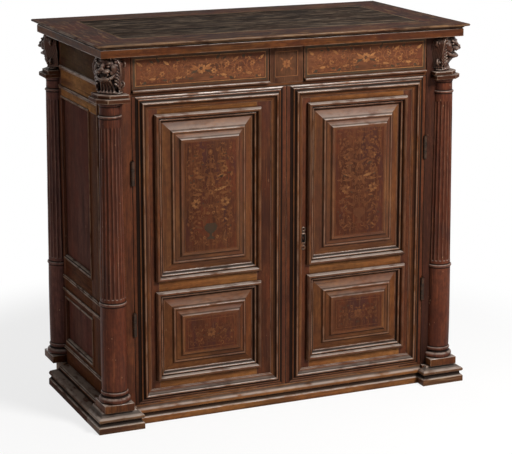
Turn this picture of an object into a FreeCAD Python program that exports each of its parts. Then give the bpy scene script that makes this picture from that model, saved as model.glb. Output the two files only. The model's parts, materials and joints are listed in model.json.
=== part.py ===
import FreeCAD, Part
import math
import os
import re
import Sketcher

# Side cabinet with two drawers, two doors and four corner columns, in millimetres.
# Origin at the middle of the footprint on the floor, front towards -Y, +Z up.

os.makedirs("parts", exist_ok=True)
doc = FreeCAD.newDocument("side_cabinet")
sheet = doc.addObject("Spreadsheet::Sheet", "Sizes")

# Driving dimensions: one named cell each.
sizes = {
    # whole cabinet
    "carcass_width": 1020, "carcass_depth": 497, "overall_height": 1080,
    "post_width": 58, "post_depth": 58, "fit_gap": 0.3,
    # top
    "top_side_overhang": 52, "top_end_overhang": 54, "board_thickness": 12, "border_width": 110,
    "nose_drop": 4, "cornice_inset": 14, "cornice_height": 25, "cornice_depth": 62,
    "cornice_cove": 7, "cornice_fillet": 4,
    # base
    "base_height": 55, "base_band": 19, "base_hollow": 12, "base_lip": 13,
    "base_quirk": 6, "base_step": 8, "base_side_proud": 63.5, "base_front_proud": 43,
    "block_return": 12.5, "block_reach": 66, "side_base_stop": 72, "side_ledge": 30,
    "plinth_proud": 7, "plinth_thickness": 14, "foot_outset": 14, "floor_thickness": 18,
    # columns
    "column_setback": 8, "slab_size": 86, "slab_height": 22,
    "torus_radius": 44.5, "torus_height": 16, "hollow_height": 6, "base_ring_radius": 38.5,
    "base_ring_height": 10, "drum_radius": 36, "mid_ring_level": 354, "mid_ring_height": 9,
    "mid_ring_radius": 38.5, "shaft_bottom_radius": 35, "shaft_top_radius": 30,
    "neck_height": 43, "neck_ring_height": 7, "neck_ring_radius": 33, "neck_radius": 29,
    # abacus plates and lions
    "abacus_lower": 12, "abacus_upper": 10, "abacus_reach": 45,
    "abacus_inner": 44, "abacus_cant": 26, "abacus_inset": 8,
    "lion_height": 102, "lion_back": 28, "lion_width": 84, "lion_mane": 10,
    "lion_muzzle": 50, "lion_muzzle_width": 36, "lion_foot": 34, "lion_foot_height": 14,
    "lion_chest": 22, "lion_chest_level": 31, "lion_jaw": 26, "lion_jaw_level": 45,
    "lion_chin_level": 51, "lion_nose_level": 69, "lion_brow": 38, "lion_brow_level": 90,
    "lion_crown": 32,
    # side frames
    "frame_thickness": 26, "side_stile": 131, "side_panel_thickness": 10, "side_panel_sink": 9,
    "bead_drop": 97, "bead_height": 12, "bead_proud": 8, "bead_round": 3,
    "side_top_drop": 47, "side_upper_bottom": 318, "side_lower_top": 288, "side_lower_bottom": 98,
    "side_front_margin": 44, "astragal_width": 10, "astragal_proud": 6, "astragal_round": 3,
    "side_top_rail": 36, "side_upper_rail": 65, "side_lower_rail": 30, "side_bottom_rail": 25,
    "stop_width": 12, "stop_seat": 5, "stop_proud": 4,
    # back, shelf and runners
    "back_thickness": 22, "back_board": 10, "back_top_rail": 128, "back_mid_level": 385,
    "back_mid_rail": 60, "back_bottom_level": 20, "back_bottom_rail": 90,
    "shelf_level": 382, "shelf_thickness": 18, "bearer_height": 30, "bearer_width": 20,
    "runner_width": 20,
    # doors
    "door_gap": 1, "door_end_gap": 1.5, "door_thickness": 26,
    "meeting_offset": 8, "meeting_gap": 1.6, "edge_inner": 24, "edge_hinge_margin": 17,
    "edge_top_margin": 2, "edge_bottom_margin": 9.5, "edge_width": 18, "edge_proud": 13,
    "edge_shoulder": 9, "edge_nose_start": 3.5, "edge_nose_end": 9, "edge_hollow": 12.5,
    "edge_hollow_rise": 8, "edge_inner_rise": 4.5,
    "panel_inner": 72, "panel_outer": 62, "upper_bottom": 405, "upper_top_margin": 52,
    "lower_bottom": 119, "panel_spacing": 29, "bolection_width": 23, "bolection_seat": 10,
    "bolection_proud": 14, "bolection_shoulder": 10.5, "bolection_nose_start": 3,
    "bolection_nose_end": 9, "bolection_hollow": 12.5, "bolection_hollow_rise": 7,
    "panel_sink": 8, "panel_thickness": 12, "field_rise": 9,
    "field_edge": 50, "step_rise": 13, "step_edge": 54, "slope_rise": 16, "slope_edge": 72,
    "tablet_rise": 19, "tablet_edge": 76,
    # hinges
    "hinge_proud": 2, "knuckle_radius": 5.5, "knuckle_length": 21, "knuckle_gap": 0.6,
    "notch_clearance": 0.6, "pin_radius": 3, "pin_clearance": 0.05, "pin_head_radius": 4.5,
    "pin_head_height": 2.5, "leaf_length": 24, "leaf_thickness": 1.6,
    "upper_hinge_drop": 211, "lower_hinge_level": 289,
    # lock, keep and inside bolt
    "lock_centre": 62, "lock_level": 484, "escutcheon_width": 15, "escutcheon_height": 70,
    "escutcheon_thickness": 2, "keyhole_width": 4, "keyhole_height": 18, "lock_width": 74,
    "lock_height": 64, "lock_depth": 18, "lock_wall": 3, "bolt_width": 12, "bolt_depth": 8,
    "bolt_clearance": 0.4, "keep_clearance": 0.8, "bolt_rest": 2, "bolt_length": 60, "keep_reach": 3,
    "keep_width": 12, "keep_wall": 4, "inside_bolt_centre": 34, "inside_bolt_width": 14,
    "inside_bolt_depth": 6, "inside_bolt_drop": 15.5, "inside_bolt_length": 150,
    "guide_height": 14, "guide_wall": 3, "guide_first": 30, "guide_second": 112,
    "bolt_knob_radius": 6, "bolt_knob_length": 14,
    # drawers and frieze
    "frieze_height": 113.5, "blade_height": 8.5, "blade_depth": 22, "blade_set_back": 2, "lip_gap": 0.5,
    "lip_height": 7.5, "lip_proud": 10, "drawer_top_gap": 3, "drawer_side_gap": 2.5,
    "drawer_front_thickness": 20, "block_centre": 8, "centre_block_width": 102,
    "block_gap": 3, "drawer_box_inset": 2, "drawer_board": 12, "drawer_bottom": 8,
    "drawer_rear_gap": 35, "drawer_box_height": 86, "runner_clearance": 0.3,
}
field_board_count = 3
back_plank_count = 3
for row, (alias, value) in enumerate(sizes.items(), start=1):
    sheet.set(f"A{row}", alias)
    sheet.set(f"B{row}", str(value))
    sheet.setAlias(f"B{row}", alias)
doc.recompute()

# Places worked out from the driving dimensions.
half = "(carcass_width/2)"
front = "(0 - carcass_depth/2)"
back = "(carcass_depth/2)"
post_inner = f"({half} - post_width)"
column_y = f"({front} + column_setback)"
slab_top = "(base_height + slab_height)"
frieze_top = "(overall_height - board_thickness - cornice_height)"
abacus_top = f"({frieze_top} - lion_height)"
abacus_low = f"({abacus_top} - abacus_upper - abacus_lower)"
neck_low = f"({abacus_low} - neck_height)"
hinge_x = f"({post_inner} - door_gap)"
hinge_y = f"({front} - hinge_proud)"
side_inner = f"({half} - frame_thickness)"
back_inner = f"({back} - back_thickness)"
rear_corner = f"({back} - post_depth)"
blade_low = f"({frieze_top} - frieze_height)"
blade_top = f"({blade_low} + blade_height)"
lip_low = f"({blade_top} + lip_gap)"
drawer_low = f"({lip_low} + lip_height)"
runner_top = f"({blade_top} + runner_clearance + lip_gap)"
door_low = "(base_height + door_end_gap)"
door_top = f"({blade_low} - door_end_gap)"
door_back = f"({front} + door_thickness)"
diagonal = "(sqrt(2)/2)"

axis_x = FreeCAD.Vector(1, 0, 0)
axis_y = FreeCAD.Vector(0, 1, 0)
axis_z = FreeCAD.Vector(0, 0, 1)


def bound(text):
    # puts the sheet's name in front of every alias
    return re.sub(r"[a-z_]+", lambda word: ("Sizes." if word[0] in sizes else "") + word[0], str(text))


def bind(piece, **expressions):
    for path, text in expressions.items():
        piece.setExpression(path.replace("__", "."), bound(text))
    return piece


def box(name, x, y, z):
    # a board given by its low and high limits along each axis
    board = doc.addObject("Part::Box", name)
    bind(board, Length=f"({x[1]}) - ({x[0]})", Width=f"({y[1]}) - ({y[0]})")
    bind(board, Height=f"({z[1]}) - ({z[0]})")
    return bind(board, Placement__Base__x=x[0], Placement__Base__y=y[0], Placement__Base__z=z[0])


def cylinder(name, x, y, z, radius):
    rod = doc.addObject("Part::Cylinder", name)
    bind(rod, Radius=radius, Height=f"({z[1]}) - ({z[0]})")
    return bind(rod, Placement__Base__x=x, Placement__Base__y=y, Placement__Base__z=z[0])


def frustum(name, outer, inner, y):
    # a bevelled block: the outer rectangle at the back, the inner one in front
    block = doc.addObject("Part::Wedge", name)
    bind(block, Xmin=inner[0], Xmax=inner[1], Zmin=inner[2], Zmax=inner[3])
    bind(block, X2min=outer[0], X2max=outer[1], Z2min=outer[2], Z2max=outer[3])
    return bind(block, Ymin=y[0], Ymax=y[1])


def fuse(name, pieces):
    whole = doc.addObject("Part::MultiFuse", name)
    whole.Shapes = pieces
    whole.Refine = True
    return whole


def cut(name, base, tool):
    rest = doc.addObject("Part::Cut", name)
    rest.Base = base
    rest.Tool = tool
    return rest


def common(name, base, tool):
    shared = doc.addObject("Part::Common", name)
    shared.Base = base
    shared.Tool = tool
    return shared


def group(name, pieces):
    # separate solids that share one node
    set_of = doc.addObject("Part::Compound", name)
    set_of.Links = pieces
    return set_of


def mirror(name, source, normal, place="0"):
    copy = doc.addObject("Part::Mirroring", name)
    copy.Source = source
    copy.Normal = normal
    path = {(1, 0, 0): "Base__x", (0, 1, 0): "Base__y", (0, 0, 1): "Base__z"}[tuple(normal)]
    return bind(copy, **{path: place})


def both_sides(name, piece):
    # the same piece on the right and on the left, in one node
    return group(name, [piece, mirror(name + "_left_copy", piece, axis_x)])


def outline(name, points, beads=()):
    # a closed sketch whose every corner is held by two bound distances; the segments named
    # as beads rise from one corner to the next as a half round, the others are straight
    sketch = doc.addObject("Sketcher::SketchObject", name)
    corners = []
    for across, up in points:
        corners.append(FreeCAD.Vector(sheet.evalExpression(bound(across)),
                                      sheet.evalExpression(bound(up)), 0))
    count = len(corners)
    for i, corner in enumerate(corners):
        following = corners[(i + 1) % count]
        segment = Part.LineSegment(corner, following)
        if i in beads:
            circle = Part.Circle((corner + following)/2, axis_z, (following.y - corner.y)/2)
            segment = Part.ArcOfCircle(circle, -math.pi/2, math.pi/2)
        sketch.addGeometry(segment, False)
    for i in range(count):
        sketch.addConstraint(Sketcher.Constraint("Coincident", i, 2, (i + 1) % count, 1))
    for i in beads:
        index = sketch.addConstraint(Sketcher.Constraint("DistanceX", -1, 1, i, 3, corners[i].x))
        sketch.setExpression(f"Constraints[{index}]", bound(points[i][0]))
    for i, (across, up) in enumerate(points):
        for kind, text, value in (("DistanceX", across, corners[i].x), ("DistanceY", up, corners[i].y)):
            index = sketch.addConstraint(Sketcher.Constraint(kind, -1, 1, i, 1, value))
            sketch.setExpression(f"Constraints[{index}]", bound(text))
    return sketch


def prism(name, points, turn, length, x="0", y="0", z="0"):
    sketch = outline(name + "_outline", points)
    sketch.Placement = FreeCAD.Placement(FreeCAD.Vector(), turn)
    bind(sketch, Placement__Base__x=x, Placement__Base__y=y, Placement__Base__z=z)
    solid = doc.addObject("Part::Extrusion", name)
    solid.Base = sketch
    solid.DirMode = "Normal"
    solid.Solid = True
    return bind(solid, LengthFwd=length)


flat_turn = FreeCAD.Rotation()
profile_turn = FreeCAD.Rotation(axis_y, axis_z, axis_x, "XYZ")


def mitred_length(name, profile, width, reach, length, turn, place, square_end):
    # one length of moulding: along local X, inwards along Y, proud along Z
    run = prism(name + "_run", profile, profile_turn, length)
    end = length if square_end else f"({length}) - ({width})"
    corners = [("0", "0"), (length, "0"), (end, width), (width, width)]
    mitre = prism(name + "_mitre", corners, flat_turn, f"({reach[1]}) - ({reach[0]})", z=reach[0])
    piece = common(name, run, mitre)
    piece.Placement = FreeCAD.Placement(FreeCAD.Vector(), turn)
    return bind(piece, Placement__Base__x=place[0], Placement__Base__y=place[1], Placement__Base__z=place[2])


def moulding_frame(name, profile, width, reach, u, v, n, facing, open_end=False):
    # mitred lengths round a rectangle; facing names the way the frame looks,
    # and an open end leaves out the far length and cuts its neighbours square
    along, inward, proud = {"front": (axis_x, axis_z, -axis_y), "up": (axis_x, axis_y, axis_z),
                            "right": (axis_y, axis_z, axis_x)}[facing]
    places = {"front": lambda a, b: (a, n, b), "up": lambda a, b: (a, b, n),
              "right": lambda a, b: (n, a, b)}[facing]
    low_turn = FreeCAD.Rotation(along, inward, proud, "XYZ")
    side_turn = FreeCAD.Rotation(-inward, along, proud, "XYZ")
    low = mitred_length(name + "_low", profile, width, reach, f"({u[1]}) - ({u[0]})", low_turn,
                        places(u[0], v[0]), open_end)
    near = mitred_length(name + "_near", profile, width, reach, f"({v[1]}) - ({v[0]})", side_turn,
                         places(u[0], v[1]), False)
    lengths = [low, near, mirror(name + "_high", low, inward, f"(({v[0]}) + ({v[1]}))/2")]
    if not open_end:
        lengths.append(mirror(name + "_far", near, along, f"(({u[0]}) + ({u[1]}))/2"))
    return group(name, lengths)


# Top: mitred border with a nosed edge, field boards inside it, moulded cornice below.
border_low = "(overall_height - board_thickness)"
lip_x = (f"(0 - {half} - top_side_overhang)", f"({half} + top_side_overhang)")
lip_y = (f"({front} - top_end_overhang)", f"({back} + top_end_overhang)")
nose = [("0", "nose_drop"), ("0", "board_thickness - nose_drop"), ("nose_drop", "board_thickness"),
        ("border_width", "board_thickness"), ("border_width", "0"), ("nose_drop", "0")]
moulding_frame("top_border", nose, "border_width", ("0", "board_thickness"), lip_x, lip_y, border_low, "up")

field_x = (f"{lip_x[0]} + border_width", f"{lip_x[1]} - border_width")
field_y = (f"({lip_y[0]} + border_width)", f"({lip_y[1]} - border_width)")
board_width = f"(({field_y[1]} - {field_y[0]})/{field_board_count})"
boards = []
for i in range(field_board_count):
    board_y = (f"{field_y[0]} + {i}*{board_width}", f"{field_y[0]} + {i + 1}*{board_width}")
    boards.append(box(f"field_board_{i}", field_x, board_y, (border_low, "overall_height")))
group("top_field", boards)

cornice = [("0", "0"), ("0", "cornice_height - cornice_cove - cornice_fillet"),
           ("cornice_fillet", "cornice_height - cornice_cove"),
           ("cornice_fillet - cornice_cove/2", "cornice_height"),
           ("cornice_depth", "cornice_height"), ("cornice_depth", "0")]
moulding_frame("top_cornice", cornice, "cornice_depth", ("0", "cornice_height"),
               (f"{lip_x[0]} + cornice_inset", f"{lip_x[1]} - cornice_inset"),
               (f"{lip_y[0]} + cornice_inset", f"{lip_y[1]} - cornice_inset"), frieze_top, "up")

# Hinges: three knuckles on a pin, with blades let into the post and the door.
hinge_levels = {"upper": f"({door_top} - upper_hinge_drop)", "lower": "lower_hinge_level"}
barrel = "(3*knuckle_length + 2*knuckle_gap)"
leaf_y = (f"{hinge_y} + knuckle_radius - leaf_thickness", f"{hinge_y} + knuckle_radius")
leaf_x = {"post": (hinge_x, f"{hinge_x} + leaf_length"), "door": (f"{hinge_x} - leaf_length", hinge_x)}


def knuckle(name, low, owner):
    z = (low, f"({low}) + knuckle_length")
    barrel_part = cylinder(name + "_barrel", hinge_x, hinge_y, z, "knuckle_radius")
    return fuse(name, [barrel_part, box(name + "_leaf", leaf_x[owner], leaf_y, z)])


leaves = {"post": [], "door": []}
mortises = {"post": [], "door": []}
pins = []
for where, level in hinge_levels.items():
    low = f"({level} - {barrel}/2)"
    top = f"({low} + {barrel})"
    head_top = f"({top} + pin_head_height)"
    bore = cylinder(f"bore_{where}", hinge_x, hinge_y, (low, top), "pin_radius + pin_clearance")
    for i, owner in enumerate(("post", "door", "post")):
        start = f"({low} + {i}*(knuckle_length + knuckle_gap))"
        piece = knuckle(f"knuckle_{where}_{i}", start, owner)
        leaves[owner].append(cut(f"knuckle_{where}_{i}_bored", piece, bore))
        mortises[owner].append(box(f"mortise_{where}_{i}", leaf_x[owner], leaf_y,
                                   (start, f"{start} + knuckle_length")))
    notch_z = (f"{low} - notch_clearance", f"{head_top} + notch_clearance")
    for owner, cuts in mortises.items():
        cuts.append(cylinder(f"notch_{where}_{owner}", hinge_x, hinge_y, notch_z,
                             "knuckle_radius + notch_clearance"))
    stem = cylinder(f"pin_stem_{where}", hinge_x, hinge_y, (low, top), "pin_radius")
    head = cylinder(f"pin_head_{where}", hinge_x, hinge_y, (top, head_top), "pin_head_radius")
    pins.append(fuse(f"pin_{where}", [stem, head]))
both_sides("hinge_frame_leaves", group("right_frame_leaves", leaves["post"]))
both_sides("hinge_pins", group("right_pins", pins))
right_hinges = group("right_door_hinges", leaves["door"])
mirror("left_door_hinges", right_hinges, axis_x)

# Corner posts, cut for the hinges in front.
post_x = (post_inner, half)
post_y = (front, f"({front} + post_depth)")
post_z = ("0", frieze_top)
front_post = cut("front_post", box("front_post_blank", post_x, post_y, post_z),
                 fuse("post_mortises", mortises["post"]))
rear_post = box("rear_post", post_x, (rear_corner, back), post_z)
group("corner_posts", [both_sides("front_posts", front_post), both_sides("rear_posts", rear_post)])


def at_corners(name, piece, as_nodes):
    # the same piece at all four corners, either as four nodes or as one set
    rear = mirror(f"{name}_rear", piece, axis_y)
    corner_pieces = {"front_right": piece, "front_left": mirror(f"{name}_front_left_copy", piece, axis_x),
                     "rear_right": rear, "rear_left": mirror(f"{name}_rear_left_copy", rear, axis_x)}
    if not as_nodes:
        return group(name, list(corner_pieces.values()))
    for corner, copy in corner_pieces.items():
        group(f"{name}_{corner}", [copy])


def notched(name, piece, z):
    # fitted round the corner of the carcass
    corner = box(name + "_notch", (f"{half} - 2*post_width", half), (front, f"{front} + 2*post_depth"), z)
    return cut(name, piece, corner)


# Columns: torus base, plain drum, ringed and tapering shaft, neck; one turned outline.
torus_top = f"({slab_top} + torus_height)"
ring_low = f"({torus_top} + hollow_height)"
drum_low = f"({ring_low} + base_ring_height)"
mid_top = "(mid_ring_level + mid_ring_height)"
neck_top = f"({neck_low} + neck_ring_height)"
torus_seat = "torus_radius - torus_height/2"
base_seat = "base_ring_radius - base_ring_height/2"
mid_seat = "mid_ring_radius - mid_ring_height/2"
neck_seat = "neck_ring_radius - neck_ring_height/2"
turned = [("0", slab_top), (torus_seat, slab_top), (torus_seat, torus_top), ("drum_radius", torus_top),
          ("drum_radius", ring_low), (base_seat, ring_low), (base_seat, drum_low), ("drum_radius", drum_low),
          ("drum_radius", "mid_ring_level"), (mid_seat, "mid_ring_level"), (mid_seat, mid_top),
          ("shaft_bottom_radius", mid_top), ("shaft_top_radius", neck_low), (neck_seat, neck_low),
          (neck_seat, neck_top), ("neck_radius", neck_top), ("neck_radius", abacus_low), ("0", abacus_low)]
turned_beads = [i for i, corner in enumerate(turned)
                if corner in ((torus_seat, slab_top), (base_seat, ring_low), (mid_seat, "mid_ring_level"),
                              (neck_seat, neck_low))]
turned_outline = outline("turned_outline", turned, turned_beads)
turned_outline.Placement = FreeCAD.Placement(FreeCAD.Vector(), FreeCAD.Rotation(axis_x, axis_z, -axis_y, "XYZ"))
bind(turned_outline, Placement__Base__x=half, Placement__Base__y=column_y)
turned_column = doc.addObject("Part::Revolution", "turned_column")
turned_column.Source = turned_outline
turned_column.Axis = axis_z
turned_column.Angle = 360
turned_column.Solid = True
bind(turned_column, Base__x=half, Base__y=column_y)
at_corners("column", notched("column", turned_column, (slab_top, abacus_low)), True)

slab_z = ("base_height", slab_top)
slab_blank = box("slab_blank", (f"{half} - slab_size/2", f"{half} + slab_size/2"),
                 (f"{column_y} - slab_size/2", f"{column_y} + slab_size/2"), slab_z)
at_corners("column_slabs", notched("slab", slab_blank, slab_z), False)


def abacus_plate(name, inset, z):
    # a square plate with its outer corner cut off
    out = f"(abacus_reach - {inset})"
    left = f"{half} - abacus_inner"
    rear = f"{column_y} + abacus_inner"
    points = [(left, f"{column_y} - {out}"), (f"{half} + {out} - abacus_cant", f"{column_y} - {out}"),
              (f"{half} + {out}", f"{column_y} - {out} + abacus_cant"), (f"{half} + {out}", rear), (left, rear)]
    return notched(name, prism(name + "_blank", points, flat_turn, f"({z[1]}) - ({z[0]})", z=z[0]), z)


upper_low = f"({abacus_low} + abacus_lower)"
lower_plate = abacus_plate("lower_plate", "0", (abacus_low, upper_low))
upper_plate = abacus_plate("upper_plate", "abacus_inset", (upper_low, abacus_top))
at_corners("abacus_plates", group("abacus_pair", [lower_plate, upper_plate]), False)

# Lions: seated on the abacus, facing out along the diagonal of each corner;
# a side view and a plan, both given from the column's axis, bound the solid.
lion_view = [("0 - lion_back", "0"), ("lion_foot", "0"), ("lion_foot", "lion_foot_height"),
             ("lion_chest", "lion_chest_level"), ("lion_jaw", "lion_jaw_level"),
             ("lion_muzzle", "lion_chin_level"), ("lion_muzzle", "lion_nose_level"),
             ("lion_brow", "lion_brow_level"), ("lion_crown", "lion_height"), ("0 - lion_back", "lion_height")]
lion_plan = [("0 - lion_back", "0 - lion_width/2"), ("lion_mane", "0 - lion_width/2"),
             ("lion_muzzle", "0 - lion_muzzle_width/2"), ("lion_muzzle", "lion_muzzle_width/2"),
             ("lion_mane", "lion_width/2"), ("0 - lion_back", "lion_width/2")]
outward = FreeCAD.Vector(1, -1, 0).normalize()
across = axis_z.cross(outward)
view_turn = FreeCAD.Rotation(outward, axis_z, -across, "XYZ")
plan_turn = FreeCAD.Rotation(outward, across, axis_z, "XYZ")
aside = f"lion_width/2*{diagonal}"
lion_side = prism("lion_side", lion_view, view_turn, "lion_width", x=f"{half} + {aside}",
                  y=f"{column_y} + {aside}", z=abacus_top)
lion_top = prism("lion_top", lion_plan, plan_turn, "lion_height", x=half, y=column_y, z=abacus_top)
lion_blank = common("lion_blank", lion_side, lion_top)
at_corners("lion", notched("lion", lion_blank, (abacus_top, frieze_top)), True)

# Base: moulded blocks under the front columns, plinth between them, moulded sides, raw rear feet.
hollow_z = ("base_band", "base_band + base_hollow")
lip_z = (hollow_z[1], f"{hollow_z[1]} + base_lip")
block_inner = f"({post_inner} - block_return)"
base_side = f"({half} + base_side_proud)"
base_front = f"({front} - base_front_proud)"
block_rear = f"({front} + block_reach)"
courses = []
for course, inset, z in (("band", "0", ("0", "base_band")), ("hollow", "base_quirk", hollow_z),
                         ("lip", "0", lip_z), ("top", "base_step", (lip_z[1], "base_height"))):
    courses.append(box(f"block_{course}", (f"{block_inner} + {inset}", f"{base_side} - {inset}"),
                       (f"{base_front} + {inset}", block_rear), z))
inside = box("block_inside", (block_inner, half), (front, block_rear), ("0", "base_height"))
both_sides("base_blocks", cut("front_block", fuse("block_courses", courses), inside))


def base_profile(ledge, thickness):
    return [("0", "0"), ("0", "base_band"), ("base_quirk", "base_band"), ("base_quirk", hollow_z[1]),
            ("0", hollow_z[1]), ("0", lip_z[1]), (ledge, lip_z[1]), (ledge, "base_height"),
            (thickness, "base_height"), (thickness, "0")]


plinth_y = f"({front} - plinth_proud)"
prism("plinth_front", base_profile("base_step", "plinth_thickness"), profile_turn, f"2*{block_inner}",
      x=f"0 - {block_inner}", y=plinth_y)
side_turn = FreeCAD.Rotation(-axis_x, axis_z, axis_y, "XYZ")
right_plinth = prism("right_plinth", base_profile("side_ledge", "base_side_proud"), side_turn,
                     f"{back} - side_base_stop - {block_rear}", x=base_side, y=block_rear)
both_sides("plinth_sides", right_plinth)

foot_z = ("0", "base_height")
foot_blank = box("foot_blank", (post_inner, f"{half} + foot_outset"), (rear_corner, f"{back} + foot_outset"), foot_z)
foot_hole = box("foot_hole", (post_inner, half), (rear_corner, back), foot_z)
both_sides("rear_feet", cut("rear_foot", foot_blank, foot_hole))

# Floor boards and shelf.
floor_z = ("base_height - floor_thickness", "base_height")
between_posts = (f"0 - {post_inner}", post_inner)
between_sides = (f"0 - {side_inner}", side_inner)
behind_posts = (post_y[1], rear_corner)
group("floor_boards", [
    box("floor_front", between_posts, (f"{plinth_y} + plinth_thickness", post_y[1]), floor_z),
    box("floor_middle", between_sides, behind_posts, floor_z),
    box("floor_rear", between_posts, (rear_corner, back_inner), floor_z)])
box("shelf", between_sides, behind_posts, ("shelf_level", "shelf_level + shelf_thickness"))
bearer = box("bearer", (f"{side_inner} - bearer_width", side_inner), behind_posts,
             ("shelf_level - bearer_height", "shelf_level"))
both_sides("shelf_bearers", bearer)

# Sides: a front stile and rails with two panels that run back to the rear post;
# an astragal outlines each panel and a stop moulding holds it.
bead_level = f"({frieze_top} - bead_drop)"
frame_x = (side_inner, half)
stile_rear = f"({post_y[1]} + side_stile)"
rail_y = (stile_rear, rear_corner)
outlines = {"upper": ("side_upper_bottom", f"({bead_level} - side_top_drop)"),
            "lower": ("side_lower_bottom", "side_lower_top")}
openings = {"upper": (f"({outlines['upper'][0]} + side_upper_rail)", f"({outlines['upper'][1]} - side_top_rail)"),
            "lower": (f"({outlines['lower'][0]} + side_bottom_rail)", f"({outlines['lower'][1]} - side_lower_rail)")}
right_frame = group("right_side_frame", [
    box("side_front_stile", frame_x, (post_y[1], stile_rear), ("0", frieze_top)),
    box("side_low_rail", frame_x, rail_y, ("0", openings["lower"][0])),
    box("side_mid_rail", frame_x, rail_y, (openings["lower"][1], openings["upper"][0])),
    box("side_high_rail", frame_x, rail_y, (openings["upper"][1], bead_level)),
    box("side_frieze", frame_x, rail_y, (bead_level, frieze_top))])
side_panel_x = (f"{half} - side_panel_sink - side_panel_thickness", f"{half} - side_panel_sink")
right_panels = group("right_side_panels", [box(f"side_{name}_panel", side_panel_x, rail_y, limits)
                                           for name, limits in openings.items()])
astragal = [("0", "0"), ("0", "astragal_proud - astragal_round"), ("astragal_round", "astragal_proud"),
            ("astragal_width - astragal_round", "astragal_proud"),
            ("astragal_width", "astragal_proud - astragal_round"), ("astragal_width", "0")]
stop = [("0", "0"), ("0", "stop_proud"), ("stop_seat", "stop_proud"), ("stop_width", "0"),
        ("stop_width", "0 - side_panel_sink"), ("stop_seat", "0 - side_panel_sink"), ("stop_seat", "0")]
astragal_y = (f"{post_y[1]} + side_front_margin", f"0 - {column_y} - mid_ring_radius - fit_gap")
side_mouldings = []
for name, (low, high) in openings.items():
    side_mouldings.append(moulding_frame(
        f"side_{name}_astragal", astragal, "astragal_width", ("0", "astragal_proud"), astragal_y,
        outlines[name], half, "right", open_end=True))
    side_mouldings.append(moulding_frame(
        f"side_{name}_stop", stop, "stop_width", ("0 - side_panel_sink", "stop_proud"),
        (f"{stile_rear} - stop_seat", rear_corner), (f"{low} - stop_seat", f"{high} + stop_seat"),
        half, "right", open_end=True))
right_mouldings = group("right_side_mouldings", side_mouldings)
for node, source in (("frame", right_frame), ("panels", right_panels), ("mouldings", right_mouldings)):
    mirror(f"left_side_{node}", source, axis_x)

bead_points = [("0", "0"), ("bead_proud - bead_round", "0"), ("bead_proud", "bead_round"),
               ("bead_proud", "bead_height - bead_round"), ("bead_proud - bead_round", "bead_height"),
               ("0", "bead_height")]
bead_turn = FreeCAD.Rotation(axis_x, axis_z, -axis_y, "XYZ")
bead_rear = f"(0 - {column_y} - (lion_back + lion_width/2)*{diagonal} - fit_gap)"
right_bead = prism("right_bead", bead_points, bead_turn, f"2*{bead_rear}", x=half, y=bead_rear, z=bead_level)
both_sides("side_beads", right_bead)

# Back: three rails between the rear posts, planks between the rails.
back_y = (back_inner, back)
bottom_top = "(back_bottom_level + back_bottom_rail)"
mid_rail_top = "(back_mid_level + back_mid_rail)"
top_rail_low = f"({frieze_top} - back_top_rail)"
group("back_rails", [box("back_bottom", between_posts, back_y, ("back_bottom_level", bottom_top)),
                     box("back_middle", between_posts, back_y, ("back_mid_level", mid_rail_top)),
                     box("back_top", between_posts, back_y, (top_rail_low, frieze_top))])
plank = f"(2*{post_inner}/{back_plank_count})"
plank_y = (f"{back_inner} + (back_thickness - back_board)/2", f"{back_inner} + (back_thickness + back_board)/2")
planks = []
for i in range(back_plank_count):
    plank_x = (f"{i}*{plank} - {post_inner}", f"{i + 1}*{plank} - {post_inner}")
    planks.append(box(f"plank_low_{i}", plank_x, plank_y, (bottom_top, "back_mid_level")))
    planks.append(box(f"plank_high_{i}", plank_x, plank_y, (mid_rail_top, top_rail_low)))
group("back_planks", planks)

# Frieze: drawer blade, centre block and the runners behind them.
blade_front = f"({front} + blade_set_back)"
blade_back = f"({blade_front} + blade_depth)"
box("drawer_blade", between_posts, (blade_front, blade_back), (blade_low, blade_top))
centre_x = ("block_centre - centre_block_width/2", "block_centre + centre_block_width/2")
box("centre_block", centre_x, (front, blade_back), (blade_top, frieze_top))
runner_y = (blade_back, back_inner)
runner_z = (blade_low, runner_top)
runner_x = {"left": (f"0 - {post_inner}", f"runner_width - {post_inner}"),
            "left_centre": (f"{centre_x[0]} - runner_width", centre_x[0]),
            "right_centre": (centre_x[1], f"{centre_x[1]} + runner_width"),
            "right": (f"{post_inner} - runner_width", post_inner)}
group("drawer_runners", [box(f"{name}_runner", x, runner_y, runner_z) for name, x in runner_x.items()])

# Drawers: inlaid front with a pulling lip below it, and a box of separate boards.
drawer_x = {"left": (f"drawer_side_gap - {post_inner}", f"{centre_x[0]} - block_gap"),
            "right": (f"{centre_x[1]} + block_gap", f"{post_inner} - drawer_side_gap")}
drawer_back = f"({front} + drawer_front_thickness)"
box_y = (drawer_back, f"{back_inner} - drawer_rear_gap")
box_low = f"({runner_top} + runner_clearance)"
box_z = (box_low, f"{box_low} + drawer_box_height")
walls_low = f"({box_low} + drawer_bottom)"
for side, x in drawer_x.items():
    front_board = box(f"{side}_drawer_board", x, (front, drawer_back), (drawer_low, f"{frieze_top} - drawer_top_gap"))
    lip = box(f"{side}_drawer_lip", x, (f"{front} - lip_proud", drawer_back), (lip_low, drawer_low))
    group(f"{side}_drawer_front", [front_board, lip])
    box_x = (f"{x[0]} + drawer_box_inset", f"{x[1]} - drawer_box_inset")
    inner_x = (f"{box_x[0]} + drawer_board", f"{box_x[1]} - drawer_board")
    group(f"{side}_drawer_box", [
        box(f"{side}_drawer_side_a", (box_x[0], inner_x[0]), box_y, box_z),
        box(f"{side}_drawer_side_b", (inner_x[1], box_x[1]), box_y, box_z),
        box(f"{side}_drawer_back", inner_x, (f"{box_y[1]} - drawer_board", box_y[1]), (walls_low, box_z[1])),
        box(f"{side}_drawer_bottom", inner_x, box_y, (box_low, walls_low))])

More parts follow.
